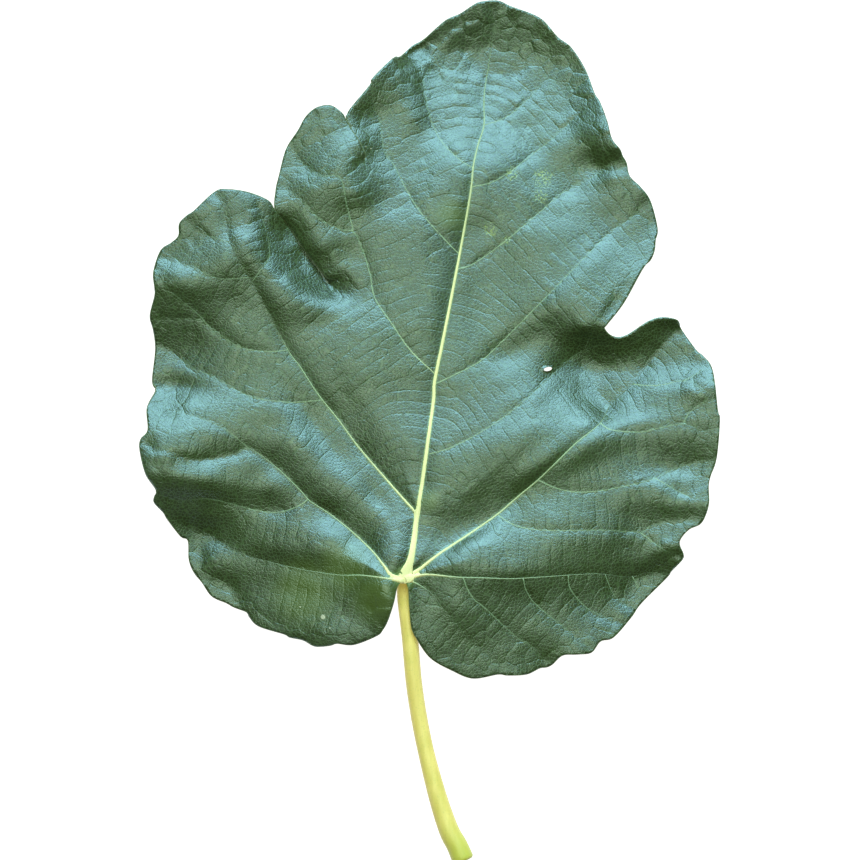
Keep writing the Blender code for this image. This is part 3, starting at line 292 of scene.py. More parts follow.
# Low swells and hollows of the fresh sheet between those heights: centre, half lengths along and across in
# squares, turn of the first one in degrees from the right towards the tip, and rise in millimetres
SWELLS = [
    # Left lobe
    (245, 252, 48, 26, 5, 1.8), (222, 214, 26, 16, 40, 0.5), (178, 284, 34, 16, 0, 0.9),
    (172, 350, 34, 20, 0, -1.1), (166, 402, 20, 18, 90, -1.2), (170, 454, 32, 12, 0, 1.9),
    (190, 478, 45, 12, -10, 0.9), (200, 532, 45, 14, -15, -0.8), (254, 477, 26, 12, 0, -0.8),
    (285, 508, 50, 16, -20, -1.4), (285, 548, 45, 12, -8, 0.7), (285, 590, 45, 12, -8, -0.4),
    (322, 634, 50, 16, 0, 0.9), (235, 206, 30, 22, 0, 0.8), (238, 237, 20, 14, 0, 0.5),
    (282, 280, 28, 14, -30, 0.5), (176, 386, 30, 11, -8, -1.2), (178, 440, 30, 12, 0, 0.4),
    (272, 425, 24, 12, 0, -0.5), (225, 478, 36, 18, 0, -0.5), (202, 560, 22, 14, -50, -0.7),
    (282, 296, 44, 20, -12, 0.9), (232, 252, 26, 20, 0, 0.4), (193, 545, 16, 26, 0, -0.4),
    (216, 598, 22, 14, 0, -0.3), (255, 330, 30, 16, 0, 0.3), (245, 255, 36, 26, 0, 0.6),
    (302, 305, 36, 20, 0, 0.45), (198, 550, 14, 18, 0, -0.6), (230, 502, 40, 22, 0, -0.4),
    (222, 590, 18, 18, 0, -0.3),
    # Between the left ribs and the midrib
    (305, 510, 26, 12, 0, -0.3), (378, 497, 22, 10, -50, -0.7), (425, 500, 12, 18, 90, 0.5),
    (322, 436, 48, 17, -50, -2.0), (300, 400, 30, 14, -50, -0.7), (384, 566, 40, 22, 50, 2.5),
    (390, 600, 20, 26, 0, 2.6), (320, 322, 20, 14, 0, -0.8), (360, 425, 26, 40, -50, -0.5),
    (352, 420, 34, 16, -60, -0.4), (300, 460, 30, 16, 0, -0.3), (365, 408, 50, 24, -45, -0.3),
    (450, 440, 26, 24, 0, -0.35), (388, 590, 18, 18, 0, 0.5), (385, 335, 26, 16, 0, 0.2),
    # Small lobe and its clefts
    (352, 150, 24, 18, 60, 1.8), (312, 190, 34, 26, 20, 1.3), (338, 238, 30, 10, -55, -0.3),
    (347, 258, 18, 14, 0, -0.5), (340, 160, 40, 34, 60, 0.5),
    (370, 172, 14, 12, 0, 0.4), (358, 196, 20, 14, 0, 0.6), (326, 122, 14, 12, 0, 0.3),
    (350, 190, 26, 22, 0, 0.6), (326, 257, 14, 12, 0, -0.4),
    # Top lobe
    (410, 112, 18, 12, 90, 0.5), (368, 120, 14, 14, 0, -0.9), (420, 118, 12, 14, 0, 0.4),
    (512, 350, 26, 14, 30, -0.5), (530, 214, 40, 16, 0, -0.6), (480, 228, 18, 14, 0, -0.5),
    (440, 130, 16, 24, 90, -0.5), (515, 155, 34, 16, 0, -0.4), (542, 168, 26, 20, 0, -0.5),
    (606, 178, 26, 9, 5, 0.8), (632, 222, 24, 16, 0, 0.4), (615, 305, 24, 8, 55, -0.8),
    (405, 95, 26, 20, 90, 0.9), (416, 48, 20, 10, 30, -2.5), (536, 146, 24, 14, -30, -0.6),
    (526, 128, 32, 16, 0, -0.8), (556, 186, 45, 22, 0, -1.3), (495, 192, 30, 20, 0, -0.7),
    (385, 202, 30, 18, 0, -0.9), (418, 160, 30, 18, 70, -0.7), (585, 270, 40, 18, 45, 0.9),
    (486, 300, 72, 40, 80, -2.5), (524, 345, 40, 16, 30, -0.9), (430, 405, 60, 30, 0, -1.3),
    (500, 82, 62, 28, 0, 0.7), (520, 165, 44, 26, 0, -0.6), (447, 250, 24, 24, 0, -0.5),
    (412, 52, 18, 14, 0, -0.6), (398, 108, 18, 16, 0, -0.3), (592, 130, 16, 24, 0, 0.4),
    (618, 178, 18, 16, 0, 0.3), (560, 215, 40, 18, 0, -0.3), (425, 325, 22, 14, 0, 0.3),
    (505, 45, 22, 14, 0, 0.5), (520, 78, 44, 14, 0, 0.3), (619, 172, 18, 16, 0, 0.4),
    (409, 55, 14, 12, 0, -0.6), (490, 225, 50, 30, 0, -0.35), (572, 58, 12, 16, 0, -0.3),
    (515, 360, 26, 14, 0, -0.3), (560, 330, 26, 12, 0, -0.4),
    # Right lobe and the hollow below the sinus
    (580, 352, 24, 14, 0, -0.8), (606, 408, 22, 14, -50, -1.0), (700, 394, 20, 12, 0, 0.6),
    (515, 440, 40, 16, 35, 0.7), (565, 402, 12, 12, 0, 0.4), (690, 490, 20, 8, 10, -0.6),
    (635, 484, 28, 8, 10, 0.4), (632, 550, 26, 10, 0, -0.4), (590, 328, 30, 9, 5, 0.9),
    (586, 366, 34, 12, 5, -1.0), (590, 388, 40, 24, 30, -1.7), (672, 328, 24, 12, 0, -1.5),
    (705, 385, 26, 18, 0, 1.0), (626, 404, 26, 16, 10, -0.5), (558, 458, 52, 20, 27, 2.6),
    (625, 468, 28, 16, 0, 0.9), (692, 474, 22, 18, 0, -0.8), (650, 502, 60, 22, 5, 1.5),
    (692, 505, 24, 14, 0, 0.6), (668, 548, 16, 8, 20, 0.7), (598, 400, 18, 16, 0, -0.6),
    (655, 384, 26, 12, 0, 0.6), (700, 378, 16, 14, 0, 0.4), (640, 412, 30, 10, 0, -0.4),
    (530, 398, 26, 12, 20, 0.5), (584, 480, 30, 14, 0, 0.4), (588, 372, 22, 22, 0, -0.35),
    (680, 385, 30, 14, 0, 0.3), (602, 446, 26, 18, 0, 0.4), (525, 478, 26, 12, 40, 0.4),
    (701, 452, 14, 24, 0, -0.25),
    # Right basal lobe
    (545, 528, 60, 24, 8, 0.4), (470, 598, 30, 28, 0, 0.8), (455, 552, 50, 18, 15, 1.9),
    (490, 574, 62, 16, 0, 1.2), (640, 625, 20, 12, 50, -0.6), (450, 605, 26, 16, -50, 0.6),
    (502, 518, 48, 14, 42, 0.6), (482, 612, 44, 26, 0, 0.3), (590, 590, 50, 24, 0, 0.3),
    (560, 595, 60, 26, 0, 0.2), (458, 612, 36, 24, 0, 0.3), (468, 545, 24, 12, 30, 0.3),
]

# Sharp folds: the two ends of the crest or valley, its rise in millimetres and its reach to each side in
# squares
FOLDS = [((448, 506), (534, 437), 0.25, 9), ((276, 205), (345, 308), -2.4, 9.5)]
FOLD_ROUNDING = 1.2
FOLD_END = 0.25  # share of the crest over which it rises from each end

# Flaps that lie over the neighbouring lobe: corner and mouth of the cleft, shift in squares, rise and
# reach to the flap's inside in millimetres
FLAPS = [
    ((339, 282), (277, 209), (-5.4, 4.6), 0.2, 5.0),
    ((365, 160), (345, 119), (3.4, -1.2), 0.6, 3.5),
]
# Shares of the cleft's length over which the shift sets in, gets less (from where on, and how long) and
# ends beyond the mouth (where, and how long)
FLAP_ROOT = 0.12
FLAP_EASE = (0.45, 0.35)
FLAP_END = (1.5, 0.4)
FLAP_MOUTH = 0.5  # what is left of a flap's shift at the cleft's mouth
FLAP_SEAM = 0.05  # millimetres outside the cleft's line where a point still belongs to the flap

# Valleys that the ribs lie in
MAIN_REACH = 3.0
SIDE_VALLEY = 0.3
SIDE_REACH = 1.8
VALLEY_ROUNDING = 0.5
FLOOR_ROUNDING = 0.05  # in square millimetres, of the bend where the blade comes down to the surface

# Cross veins, which run from rib to rib and are linked by finer ones
CHANCE_SEED = 7
GRAIN_STEP = 2.0
ROW_SPACING = (2.9, 3.9)
ROW_CLEARANCE = 2.1
ROW_WOBBLE = (0.10, 0.35)  # inside the leaf, and what comes on top near the margin
ROW_FIRST = (0.5, 3.0)  # distance of the first row from the rib's start
ROW_START = 1.1  # distance of a row's first seed from the rib's middle
ROW_END = 0.6  # distance from a rib at which a row stops
ROW_FREE = 1.5  # length over which a row isn't stopped by the rib that it starts from
ROW_LONGEST = 60
ROUTE_STEP = 0.5  # between the places along a rib where a row can start
SEED_STEP = 0.8
GAP_STEP = 1.2
GAP_MARGIN = 0.9  # least distance from the margin of a seed that fills a gap
POLYGON_SPACING = 3.4  # of the single cells near the margin, which stand in no rows
POLYGON_REACH = (4.5, 11.0)  # how far they go in from the margin, and what comes on top at the tip
TIP_SPOT = (490, 50)
TIP_REACH = 26.0
CELL_LENGTH = (4.0, 9.0)
CELL_SHORTER = 0.45  # share by which the cells at the margin are shorter
MERGED = 0.025  # chance of a pair of seeds in neighbouring rows to join their cells
LONGEST_VEIN = 8
VEIN_SAMPLE = 0.12
KNOT_STEP = 0.6  # between the triangles' points along the cross veins
KNOT_SHARE = 0.8  # of that step, within which there is one knot only
KNOT_CLEARANCE = 0.3  # from the margin and the ribs

# The relief between the veins
BULGE = (0.055, 0.10)  # rise of the cells inside the leaf, and what comes on top where it is ruffled
BULGE_REACH = 12.0  # distance from the margin over which the second goes
BULGE_ROUNDING = 0.6
BULGE_LEVEL = 0.6  # how far the veins lie below the resting form, as a share of the rise
LINK_LEVEL = (0.35, 0.6)  # how free the blade is on a finer vein, and how fast it gets freer beside it
CELL_RISE = (0.35, 1.4)  # of one cell, as a share of the usual
CELL_TILT = (0.012, 0.085)
TILT_REACH = 2.5
MARGIN_RUFFLE = 0.3  # how ruffled the margin is, as a share of the tip
UNDER_RIDGE = (0.16, 0.45)  # height and half width of the veins below
EDGE_DROP = (0.07, 0.4)  # how far the rim is rounded off, and over which width
EDGE_REACH = 1.5  # distance from the margin over which the blade gets thicker
LOWEST = 0.02  # height that the blade keeps over the surface

# Distances between the triangles' points: from the rim, and as shares of the usual step
RIM_CLEARANCE = 0.35
LINE_SHARE = 0.7
GRID_SHARE = 0.52

# Ribs and stalk as tubes
RIB_STEP = 0.9
RIB_SIDES = 16
RIB_RISE = 0.22
SIDE_RISE = 0.04
RIB_SUNK = 0.1  # how deep a rib's strip and its keel reach into the blade
RIB_BESIDE = 0.4  # distance beside a rib at which the blade's slope is taken
FULL_HALF = 0.45  # half width from which a rib rises in full
STALK_STEP = 1.2
STALK_SIDES = 28
FURROWS = (7, 0.012)  # how many there are, and how deep they are as a share of the radius
FURROW_TWIST = (0.4, 0.11)  # how far they wander round the stalk, and how fast from ring to ring
# The rounded rim of the cut and the shallow hollow in it: millimetres ahead and share of the radius
STALK_CUT = [(0.35, 0.97), (0.65, 0.9), (0.85, 0.8), (0.9, 0.7), (0.84, 0.5), (0.8, 0.2)]
HUB_SUNK = 0.3
HUB_STEEPER = 4  # how much steeper the dome is below its widest ring
HUB_TURNS = (-0.5, 1.45, 9)  # first and last ring's angle, and how many there are

# The picture in squares, the camera, and the height in metres that the picture is measured at
PICTURE = 860
PICTURE_MIDDLE = (430, 430)
LENS = 250
SENSOR = 36
PICTURE_LEVEL = 0.006

# Lights: azimuth and elevation in degrees, distance and size in metres, watts and colour
WINDOW = (6, 48, 2.8, (3.15, 2.1), 156, (0.68, 0.94, 1.03))
CEILING = (200, 85, 3.0, (1.6, 1.4), 30.5, (1.0, 0.93, 0.60))
SKY = (0.95, 1.0, 0.75, 1)
SKY_STRENGTH = 0.02

# Half size and height of the floor in metres
FLOOR_HALF = 3.0
FLOOR_LEVEL = -0.00002


def plan(points):
    """Points of the drawing as millimetres from its middle."""
    squares = np.array(points, float).reshape(-1, 2)
    return (squares - MIDDLE) * (SQUARE, -SQUARE)


def round_angles(count):
    """Angles of this many points round a circle."""
    return np.arange(count) * math.tau / count


def cos_sin(degrees):
    return math.cos(math.radians(degrees)), math.sin(math.radians(degrees))


def smooth_share(value):
    """A smooth passage from 0 to 1 while the value goes from 0 to 1."""
    share = np.clip(value, 0, 1)
    return share * share * (3 - 2 * share)


def smooth_curve(points, step, closed=False, corners=()):
    """A Catmull-Rom curve through the points, cut into pieces of about this length; corners stay sharp."""
    points = np.array(points, float)
    count = len(points)
    curve = []
    for i in range(count if closed else count - 1):
        b, c = points[i], points[(i + 1) % count]
        a = points[i - 1] if closed or i else 2 * b - c
        d = points[(i + 2) % count] if closed or i + 2 < count else 2 * c - b
        out = c - b if i in corners else (c - a) / 2
        back = c - b if (i + 1) % count in corners else (d - b) / 2
        pieces = max(1, round(np.linalg.norm(c - b) / step))
        for t in np.arange(pieces) / pieces:
            curve.append(
                (2 * t**3 - 3 * t**2 + 1) * b + (t**3 - 2 * t**2 + t) * out
                + (3 * t**2 - 2 * t**3) * c + (t**3 - t**2) * back
            )
    if not closed:
        curve.append(points[-1])
    return np.array(curve)


def path_lengths(path):
    return np.append(0, np.cumsum(np.linalg.norm(np.diff(path, axis=0), axis=1)))


def directions(path):
    along = np.gradient(path, axis=0)
    return along / np.linalg.norm(along, axis=1)[:, None]


def right_of(path):
    """Unit steps to the right of a path, seen from above."""
    along = directions(path)
    return np.stack([along[:, 1], -along[:, 0]], axis=1)


class Nearest:
    """Finds the nearest of many points in the plan."""

    def __init__(self, points):
        points = np.asarray(points, float)
        self.tree = KDTree(len(points))
        for i, (x, y) in enumerate(points.tolist()):
            self.tree.insert((x, y, 0), i)
        self.tree.balance()

    def find(self, points):
        """Index of the nearest point to each of these, and how far it is."""
        found = [self.tree.find((x, y, 0))[1:] for x, y in np.asarray(points).tolist()]
        return np.array([index for index, _ in found]), np.array([far for _, far in found])


class Lines:
    """Paths in the plan, and how far any place is from the nearest of them."""

    SAMPLE = 0.25

    def __init__(self, routes, closed=False):
        paths = [smooth_curve(route, self.SAMPLE, closed) for route in routes]
        self.at = np.vstack(paths)
        self.along = np.vstack([directions(path) for path in paths])
        self.path = np.concatenate([np.full(len(path), i) for i, path in enumerate(paths)])
        self.share = np.concatenate([path_lengths(path) / path_lengths(path)[-1] for path in paths])
        self.nearest = Nearest(self.at)

    def measure(self, points):
        """Index of the nearest sample, distance to the line, and signed distance, positive on its right."""
        index, far = self.nearest.find(points)
        offset = points - self.at[index]
        along = self.along[index]
        across = offset[:, 0] * along[:, 1] - offset[:, 1] * along[:, 0]
        beyond = np.abs((offset * along).sum(axis=1)) > self.SAMPLE
        away = np.where(beyond, far, np.abs(across))
        return index, away, np.copysign(away, across)


def valley(distance, reach):
    """How much of a valley's depth there is at a distance from its rib."""
    return np.exp((VALLEY_ROUNDING - np.hypot(distance, VALLEY_ROUNDING)) / reach)


def swelling(points):
    """Rise of all the low swells together."""
    rise = np.zeros(len(points))
    for x, y, half_long, half_wide, turn, height in SWELLS:
        offset = (points - plan((x, y))) / SQUARE
        cos, sin = cos_sin(turn)
        along, across = offset @ (cos, sin), offset @ (-sin, cos)
        rise += height * np.exp(-(along / half_long) ** 2 - (across / half_wide) ** 2)
    return rise


def folding(points):
    """Rise of the sharp folds."""
    rise = np.zeros(len(points))
    for start, end, height, reach in FOLDS:
        start, end = plan(start)[0], plan(end)[0]
        length = np.linalg.norm(end - start)
        along = (points - start) @ (end - start) / length**2
        across = (points - start) @ np.array([start[1] - end[1], end[0] - start[0]]) / length
        ends = smooth_share(np.minimum(along, 1 - along) / FOLD_END)
        sharp = np.exp((FOLD_ROUNDING - np.hypot(across / SQUARE, FOLD_ROUNDING)) / reach)
        rise += height * ends * sharp
    return rise


def flap_shares(points, flap):
    """How far each point takes part in a flap: whole at its outer edge, none at the cleft's corner."""
    corner, mouth, shift, _, reach = flap
    corner, mouth, shift = plan(corner)[0], plan(mouth)[0], np.multiply(shift, (1, -1))
    length = np.linalg.norm(mouth - corner)
    way = (mouth - corner) / length
    inwards = np.array([way[1], -way[0]])
    inwards = inwards if inwards @ shift < 0 else -inwards
    along, across = (points - corner) @ way / length, (points - corner) @ inwards
    out = smooth_share(along / FLAP_ROOT)
    out *= 1 - (1 - FLAP_MOUTH) * smooth_share((along - FLAP_EASE[0]) / FLAP_EASE[1])
    out *= smooth_share((FLAP_END[0] - along) / FLAP_END[1])
    return np.where(across > -FLAP_SEAM, out * np.exp(-np.maximum(across, 0) / reach), 0)


def plate_weight(squared):
    return 0.5 * squared * np.log(np.maximum(squared, 1e-12))


def paleness(pale, share):
    """How pale a side rib is at a share of its length."""
    return (pale * (1 - share)) ** PALE_POWER


def tip_share(points):
    """How near the tip each point is, from 0 far away to 1 in its middle."""
    return np.exp(-(((points - plan(TIP_SPOT)) / TIP_REACH) ** 2).sum(axis=1))


class Form:
    """The leaf's plan, its ribs and the height of its blade."""

    def __init__(self):
        corners = {MARGIN.index(corner) for corner in CLEFT_CORNERS}
        self.margin = smooth_curve(plan(MARGIN), LINE_STEP, closed=True, corners=corners)[::-1]
        self.margin_lines = Lines([plan(MARGIN)], closed=True)
        self.main_lines = Lines([plan(rib[0]) for rib in MAIN_RIBS.values()])
        self.side_lines = Lines([plan(route) for _, route in SIDE_RIBS])
        self.measure_ribs()
        self.fit_plate()

    def measure_ribs(self):
        """Half width and valley of the main ribs, and paleness of the side ribs, at each sample."""
        ribs = list(MAIN_RIBS.values())
        paths, shares = self.main_lines.path, self.main_lines.share
        self.main_half = np.array([np.interp(t, *zip(*ribs[path][1])) for path, t in zip(paths, shares)])
        self.main_depth = np.array([rib[4] for rib in ribs])[paths]
        pale = np.array([pale for pale, _ in SIDE_RIBS])[self.side_lines.path]
        self.side_pale = paleness(pale, self.side_lines.share)

    def fit_plate(self):
        """Weights of a thin plate that is laid over the spot heights."""
        table = np.array(HEIGHTS, float)
        self.centres = plan(table[:, :2])
        count = len(table)
        apart = ((self.centres[:, None] - self.centres[None]) ** 2).sum(2)
        system = np.zeros((count + 3, count + 3))
        system[:count, :count] = plate_weight(apart) + SLACK * np.eye(count)
        system[:count, count] = system[count, :count] = 1
        system[:count, count + 1:] = self.centres
        system[count + 1:, :count] = self.centres.T
        self.weights = np.linalg.solve(system, np.append(table[:, 2], [0, 0, 0]))

    def inside(self, points):
        """Distance from the margin, positive on the blade."""
        return self.margin_lines.measure(points)[2]

    def measure(self, points):
        """Distance beside the nearest main rib, that rib's valley and half width, distance to the nearest
        side rib, and how pale that one is there."""
        index, away, _ = self.main_lines.measure(points)
        side_index, side_away, _ = self.side_lines.measure(points)
        half = self.main_half[index]
        return away - half, self.main_depth[index], half, side_away, self.side_pale[side_index]

    def underside(self, points, distances=None):
        """Height of the blade's resting form, smoothly held above the surface that it lies on."""
        main_gap, main_depth, _, side_away, _ = distances or self.measure(points)
        count = len(self.centres)
        height = self.weights[count] + points @ self.weights[count + 1:]
        for centre, weight in zip(self.centres, self.weights):
            height += weight * plate_weight(((points - centre) ** 2).sum(1))
        height += swelling(points) + folding(points)
        sunk = main_depth * valley(np.maximum(main_gap, 0), MAIN_REACH)
        sunk = np.maximum(sunk, SIDE_VALLEY * valley(side_away, SIDE_REACH))
        height = height - sunk
        return (height + np.sqrt(height**2 + FLOOR_ROUNDING)) / 2


class Grain:
    """The way that cross veins run: square to the ribs nearby, and turning smoothly between them."""

    def __init__(self, form):
        at = np.vstack([form.main_lines.at, form.side_lines.at])[::4]
        along = np.vstack([form.main_lines.along, form.side_lines.along])[::4]
        doubled = np.stack([along[:, 1] ** 2 - along[:, 0] ** 2, -2 * along[:, 0] * along[:, 1]], axis=1)
        self.low = form.margin.min(axis=0) - GRAIN_STEP
        self.count = np.ceil((form.margin.max(axis=0) - self.low) / GRAIN_STEP).astype(int) + 2
        rows = []
        for j in range(self.count[1]):
            columns = np.arange(self.count[0])
            spots = self.low + GRAIN_STEP * np.stack([columns, np.full(len(columns), j)], axis=1)
            squared = ((spots[:, None] - at[None]) ** 2).sum(axis=2)
            rows.append((squared + 1) ** -1.5 @ doubled)
        self.table = np.array(rows)
        self.table /= np.linalg.norm(self.table, axis=2)[:, :, None]

    def doubled(self, points):
        """Cosine and sine of twice the angle at each point."""
        place = np.clip((np.atleast_2d(points) - self.low) / GRAIN_STEP, 0, self.count - 1.001)
        whole = place.astype(int)
        part = place - whole
        total = 0
        for i, j in ((0, 0), (1, 0), (0, 1), (1, 1)):
            share = np.abs(1 - i - part[:, 0]) * np.abs(1 - j - part[:, 1])
            total = total + share[:, None] * self.table[whole[:, 1] + j, whole[:, 0] + i]
        return total

    def step(self, x, y, before):
        """A unit step along the grain, onwards from the step before."""
        cos, sin = self.doubled((x, y))[0]
        angle = math.atan2(sin, cos) / 2
        step = (math.cos(angle), math.sin(angle))
        return step if step[0] * before[0] + step[1] * before[1] >= 0 else (-step[0], -step[1])


class Rows:
    """Rows of seed points along the grain, each row cut into cells."""

    def __init__(self, form, chance):
        self.form, self.grain, self.chance = form, Grain(form), chance
        self.taken, self.seeds, self.cells, self.rows = {}, [], [], []
        self.row, self.cell = 0, 0
        self.start_at_ribs()
        self.fill_gaps()

    def square_of(self, x, y):
        """The square of the plan that a seed is filed under."""
        return math.floor(x / ROW_SPACING[1]), math.floor(y / ROW_SPACING[1])

    def crowded(self, x, y, clearance):
        """Whether another row has a seed nearer than this."""
        column, line = self.square_of(x, y)
        near = [(column + i, line + j) for i in (-1, 0, 1) for j in (-1, 0, 1)]
        return any(
            row != self.row and math.hypot(x - other_x, y - other_y) < clearance
            for square in near for other_x, other_y, row in self.taken.get(square, ())
        )

    def take(self, x, y):
        self.taken.setdefault(self.square_of(x, y), []).append((x, y, self.row))
        self.seeds.append((x, y))
        self.cells.append(self.cell)
        self.rows.append(self.row)

    def polygonal(self, spot, edge):
        """Whether the cells at a spot are single ones."""
        return edge < POLYGON_REACH[0] + POLYGON_REACH[1] * tip_share(spot)[0]

    def at_rib(self, spot):
        main_gap, _, _, side_away, _ = self.form.measure(spot)
        return min(main_gap[0], side_away[0]) < ROW_END

    def follow(self, x, y, before):
        """Seeds from here along the grain, to the next rib, the single cells or another row."""
        left, gone = 0.0, 0.0
        while gone < ROW_LONGEST:
            spot = np.array([[x, y]])
            edge = self.form.inside(spot)[0]
            if self.polygonal(spot, edge) or self.crowded(x, y, ROW_CLEARANCE):
                return
            if gone > ROW_FREE and self.at_rib(spot):
                return
            nearness = math.exp(-edge / BULGE_REACH)
            if left <= 0:
                self.cell += 1
                left = self.chance.uniform(*CELL_LENGTH) * (1 - CELL_SHORTER * nearness)
            self.take(x, y)
            step = self.grain.step(x, y, before)
            turn = self.chance.normal(0, ROW_WOBBLE[0] + ROW_WOBBLE[1] * nearness)
            before = (step[0] - turn * step[1], step[1] + turn * step[0])
            x, y = x + SEED_STEP * before[0], y + SEED_STEP * before[1]
            left, gone = left - SEED_STEP, gone + SEED_STEP

    def start_at_ribs(self):
        routes = [plan(rib[0]) for rib in MAIN_RIBS.values()] + [plan(route) for _, route in SIDE_RIBS]
        for route in routes:
            path = smooth_curve(route, ROUTE_STEP)
            lengths, right = path_lengths(path), right_of(path)
            for side in (1, -1):
                reach = self.chance.uniform(*ROW_FIRST)
                while reach < lengths[-1]:
                    at = np.searchsorted(lengths, reach)
                    step = right[at] * side
                    x, y = (path[at] + step * ROW_START).tolist()
                    self.row += 1
                    self.follow(x, y, step.tolist())
                    reach += self.chance.uniform(*ROW_SPACING)

    def fill_gaps(self):
        """Rows and single cells wherever there is room left."""
        low, high = self.form.margin.min(axis=0), self.form.margin.max(axis=0)
        spots = np.array([
            (x, y) for y in np.arange(low[1], high[1], GAP_STEP) for x in np.arange(low[0], high[0], GAP_STEP)
        ])
        spots += self.chance.uniform(-0.5, 0.5, spots.shape) * GAP_STEP
        edges = self.form.inside(spots)
        for number in self.chance.permutation(len(spots)):
            here = spots[number].tolist()
            self.row += 1
            if edges[number] > GAP_MARGIN and not self.crowded(*here, POLYGON_SPACING):
                if self.polygonal(spots[number:number + 1], edges[number]):
                    self.cell += 1
                    self.take(*here)
                else:
                    step = self.grain.step(*here, (1, 0))
                    self.follow(*here, step)
                    back = (-step[0], -step[1])
                    self.follow(here[0] + back[0] * SEED_STEP, here[1] + back[1] * SEED_STEP, back)


def circumcentres(points, triangles):
    a, b, c = (points[triangles[:, k]] for k in range(3))
    ab, ac = b - a, c - a
    double = 2 * (ab[:, 0] * ac[:, 1] - ab[:, 1] * ac[:, 0])
    double[np.abs(double) < 1e-9] = 1e-9
    square_b, square_c = (ab**2).sum(axis=1), (ac**2).sum(axis=1)
    x = (ac[:, 1] * square_b - ab[:, 1] * square_c) / double
    y = (ab[:, 0] * square_c - ac[:, 0] * square_b) / double
    return a + np.stack([x, y], axis=1)


def cross_veins(seeds, cells, rows, chance):
    """Short straight pieces between neighbouring cells, as pairs of ends: those between rows, and the others.
    Some cells of two rows become one."""
    _, _, faces, origins, _, _ = delaunay_2d_cdt([Vector(seed) for seed in seeds], [], [], 0, 1e-6)
    numbers = [group[0] if group else -1 for group in origins]
    triangles = np.array([[numbers[v] for v in face] for face in faces if len(face) == 3])
    triangles = triangles[(triangles >= 0).all(axis=1)]
    centres = circumcentres(seeds, triangles)
    beside = {}
    for number, triangle in enumerate(triangles.tolist()):
        for k in range(3):
            pair = tuple(sorted((triangle[k], triangle[k - 1])))
            beside.setdefault(pair, []).append(number)
    for a, b in beside:
        if rows[a] != rows[b] and chance.random() < MERGED:
            cells[cells == cells[b]] = cells[a]
    ladder, links = [], []
    for (a, b), both in beside.items():
        if len(both) == 2 and cells[a] != cells[b]:
            start, end = centres[both[0]], centres[both[1]]
            if np.linalg.norm(start - end) < LONGEST_VEIN:
                (ladder if rows[a] != rows[b] else links).append((start, end))
    return np.array(ladder), np.array(links)


def along_pieces(pieces, spacing):
    """Points along straight pieces, about this far apart."""
    lengths = np.linalg.norm(pieces[:, 1] - pieces[:, 0], axis=1)
    counts = np.maximum(1, np.ceil(lengths / spacing)).astype(int)
    piece = np.repeat(np.arange(len(pieces)), counts + 1)
    first = np.repeat(np.append(0, np.cumsum(counts + 1)[:-1]), counts + 1)
    share = (np.arange(len(piece)) - first) / counts[piece]
    return pieces[piece, 0] + share[:, None] * (pieces[piece, 1] - pieces[piece, 0])


def thinned(points, spacing):
    """The points without those that share a square of this size with an earlier one."""
    _, first = np.unique(np.floor(points / spacing), axis=0, return_index=True)
    return points[np.sort(first)]


class CrossVeins:
    """The cross veins between the ribs, and the cells between them."""

    def __init__(self, form):
        chance = np.random.default_rng(CHANCE_SEED)
        made = Rows(form, chance)
        seeds, self.cells = np.array(made.seeds), np.array(made.cells)
        ladder, links = cross_veins(seeds, self.cells, made.rows, chance)
        spots = np.vstack([along_pieces(ladder, KNOT_STEP), along_pieces(links, KNOT_STEP)])
        spots = spots[form.inside(spots) > KNOT_CLEARANCE]
        main_gap, _, _, side_away, _ = form.measure(spots)
        self.knots = thinned(spots[np.minimum(main_gap, side_away) > KNOT_CLEARANCE], KNOT_STEP * KNOT_SHARE)
        self.ladder = Nearest(along_pieces(ladder, VEIN_SAMPLE))
        self.links = Nearest(along_pieces(links, VEIN_SAMPLE))
        self.seed_nearest = Nearest(seeds)
        count = self.cells.max() + 1
        sums = np.array([np.bincount(self.cells, seeds[:, k], count) for k in range(2)])
        self.centres = (sums / np.maximum(np.bincount(self.cells, minlength=count), 1)).T
        self.tilts = chance.normal(0, 1, (count, 2))
        self.rises = chance.uniform(*CELL_RISE, count)

    def measure(self, points):
        """Distances to the nearest cross vein and link, the cell's tilt at each point, and its rise."""
        cell = self.cells[self.seed_nearest.find(points)[0]]
        offset = np.clip(points - self.centres[cell], -TILT_REACH, TILT_REACH)
        tilt = (offset * self.tilts[cell]).sum(axis=1)
        return self.ladder.find(points)[1], self.links.find(points)[1], tilt, self.rises[cell]


def hole_outline():
    centre, half, turn = HOLE
    angles = round_angles(HOLE_SIDES)
    x, y = half[0] * np.cos(angles), half[1] * np.sin(angles)
    cos, sin = cos_sin(turn)
    return plan(np.stack([centre[0] + x * cos - y * sin, centre[1] - x * sin - y * cos], axis=1))


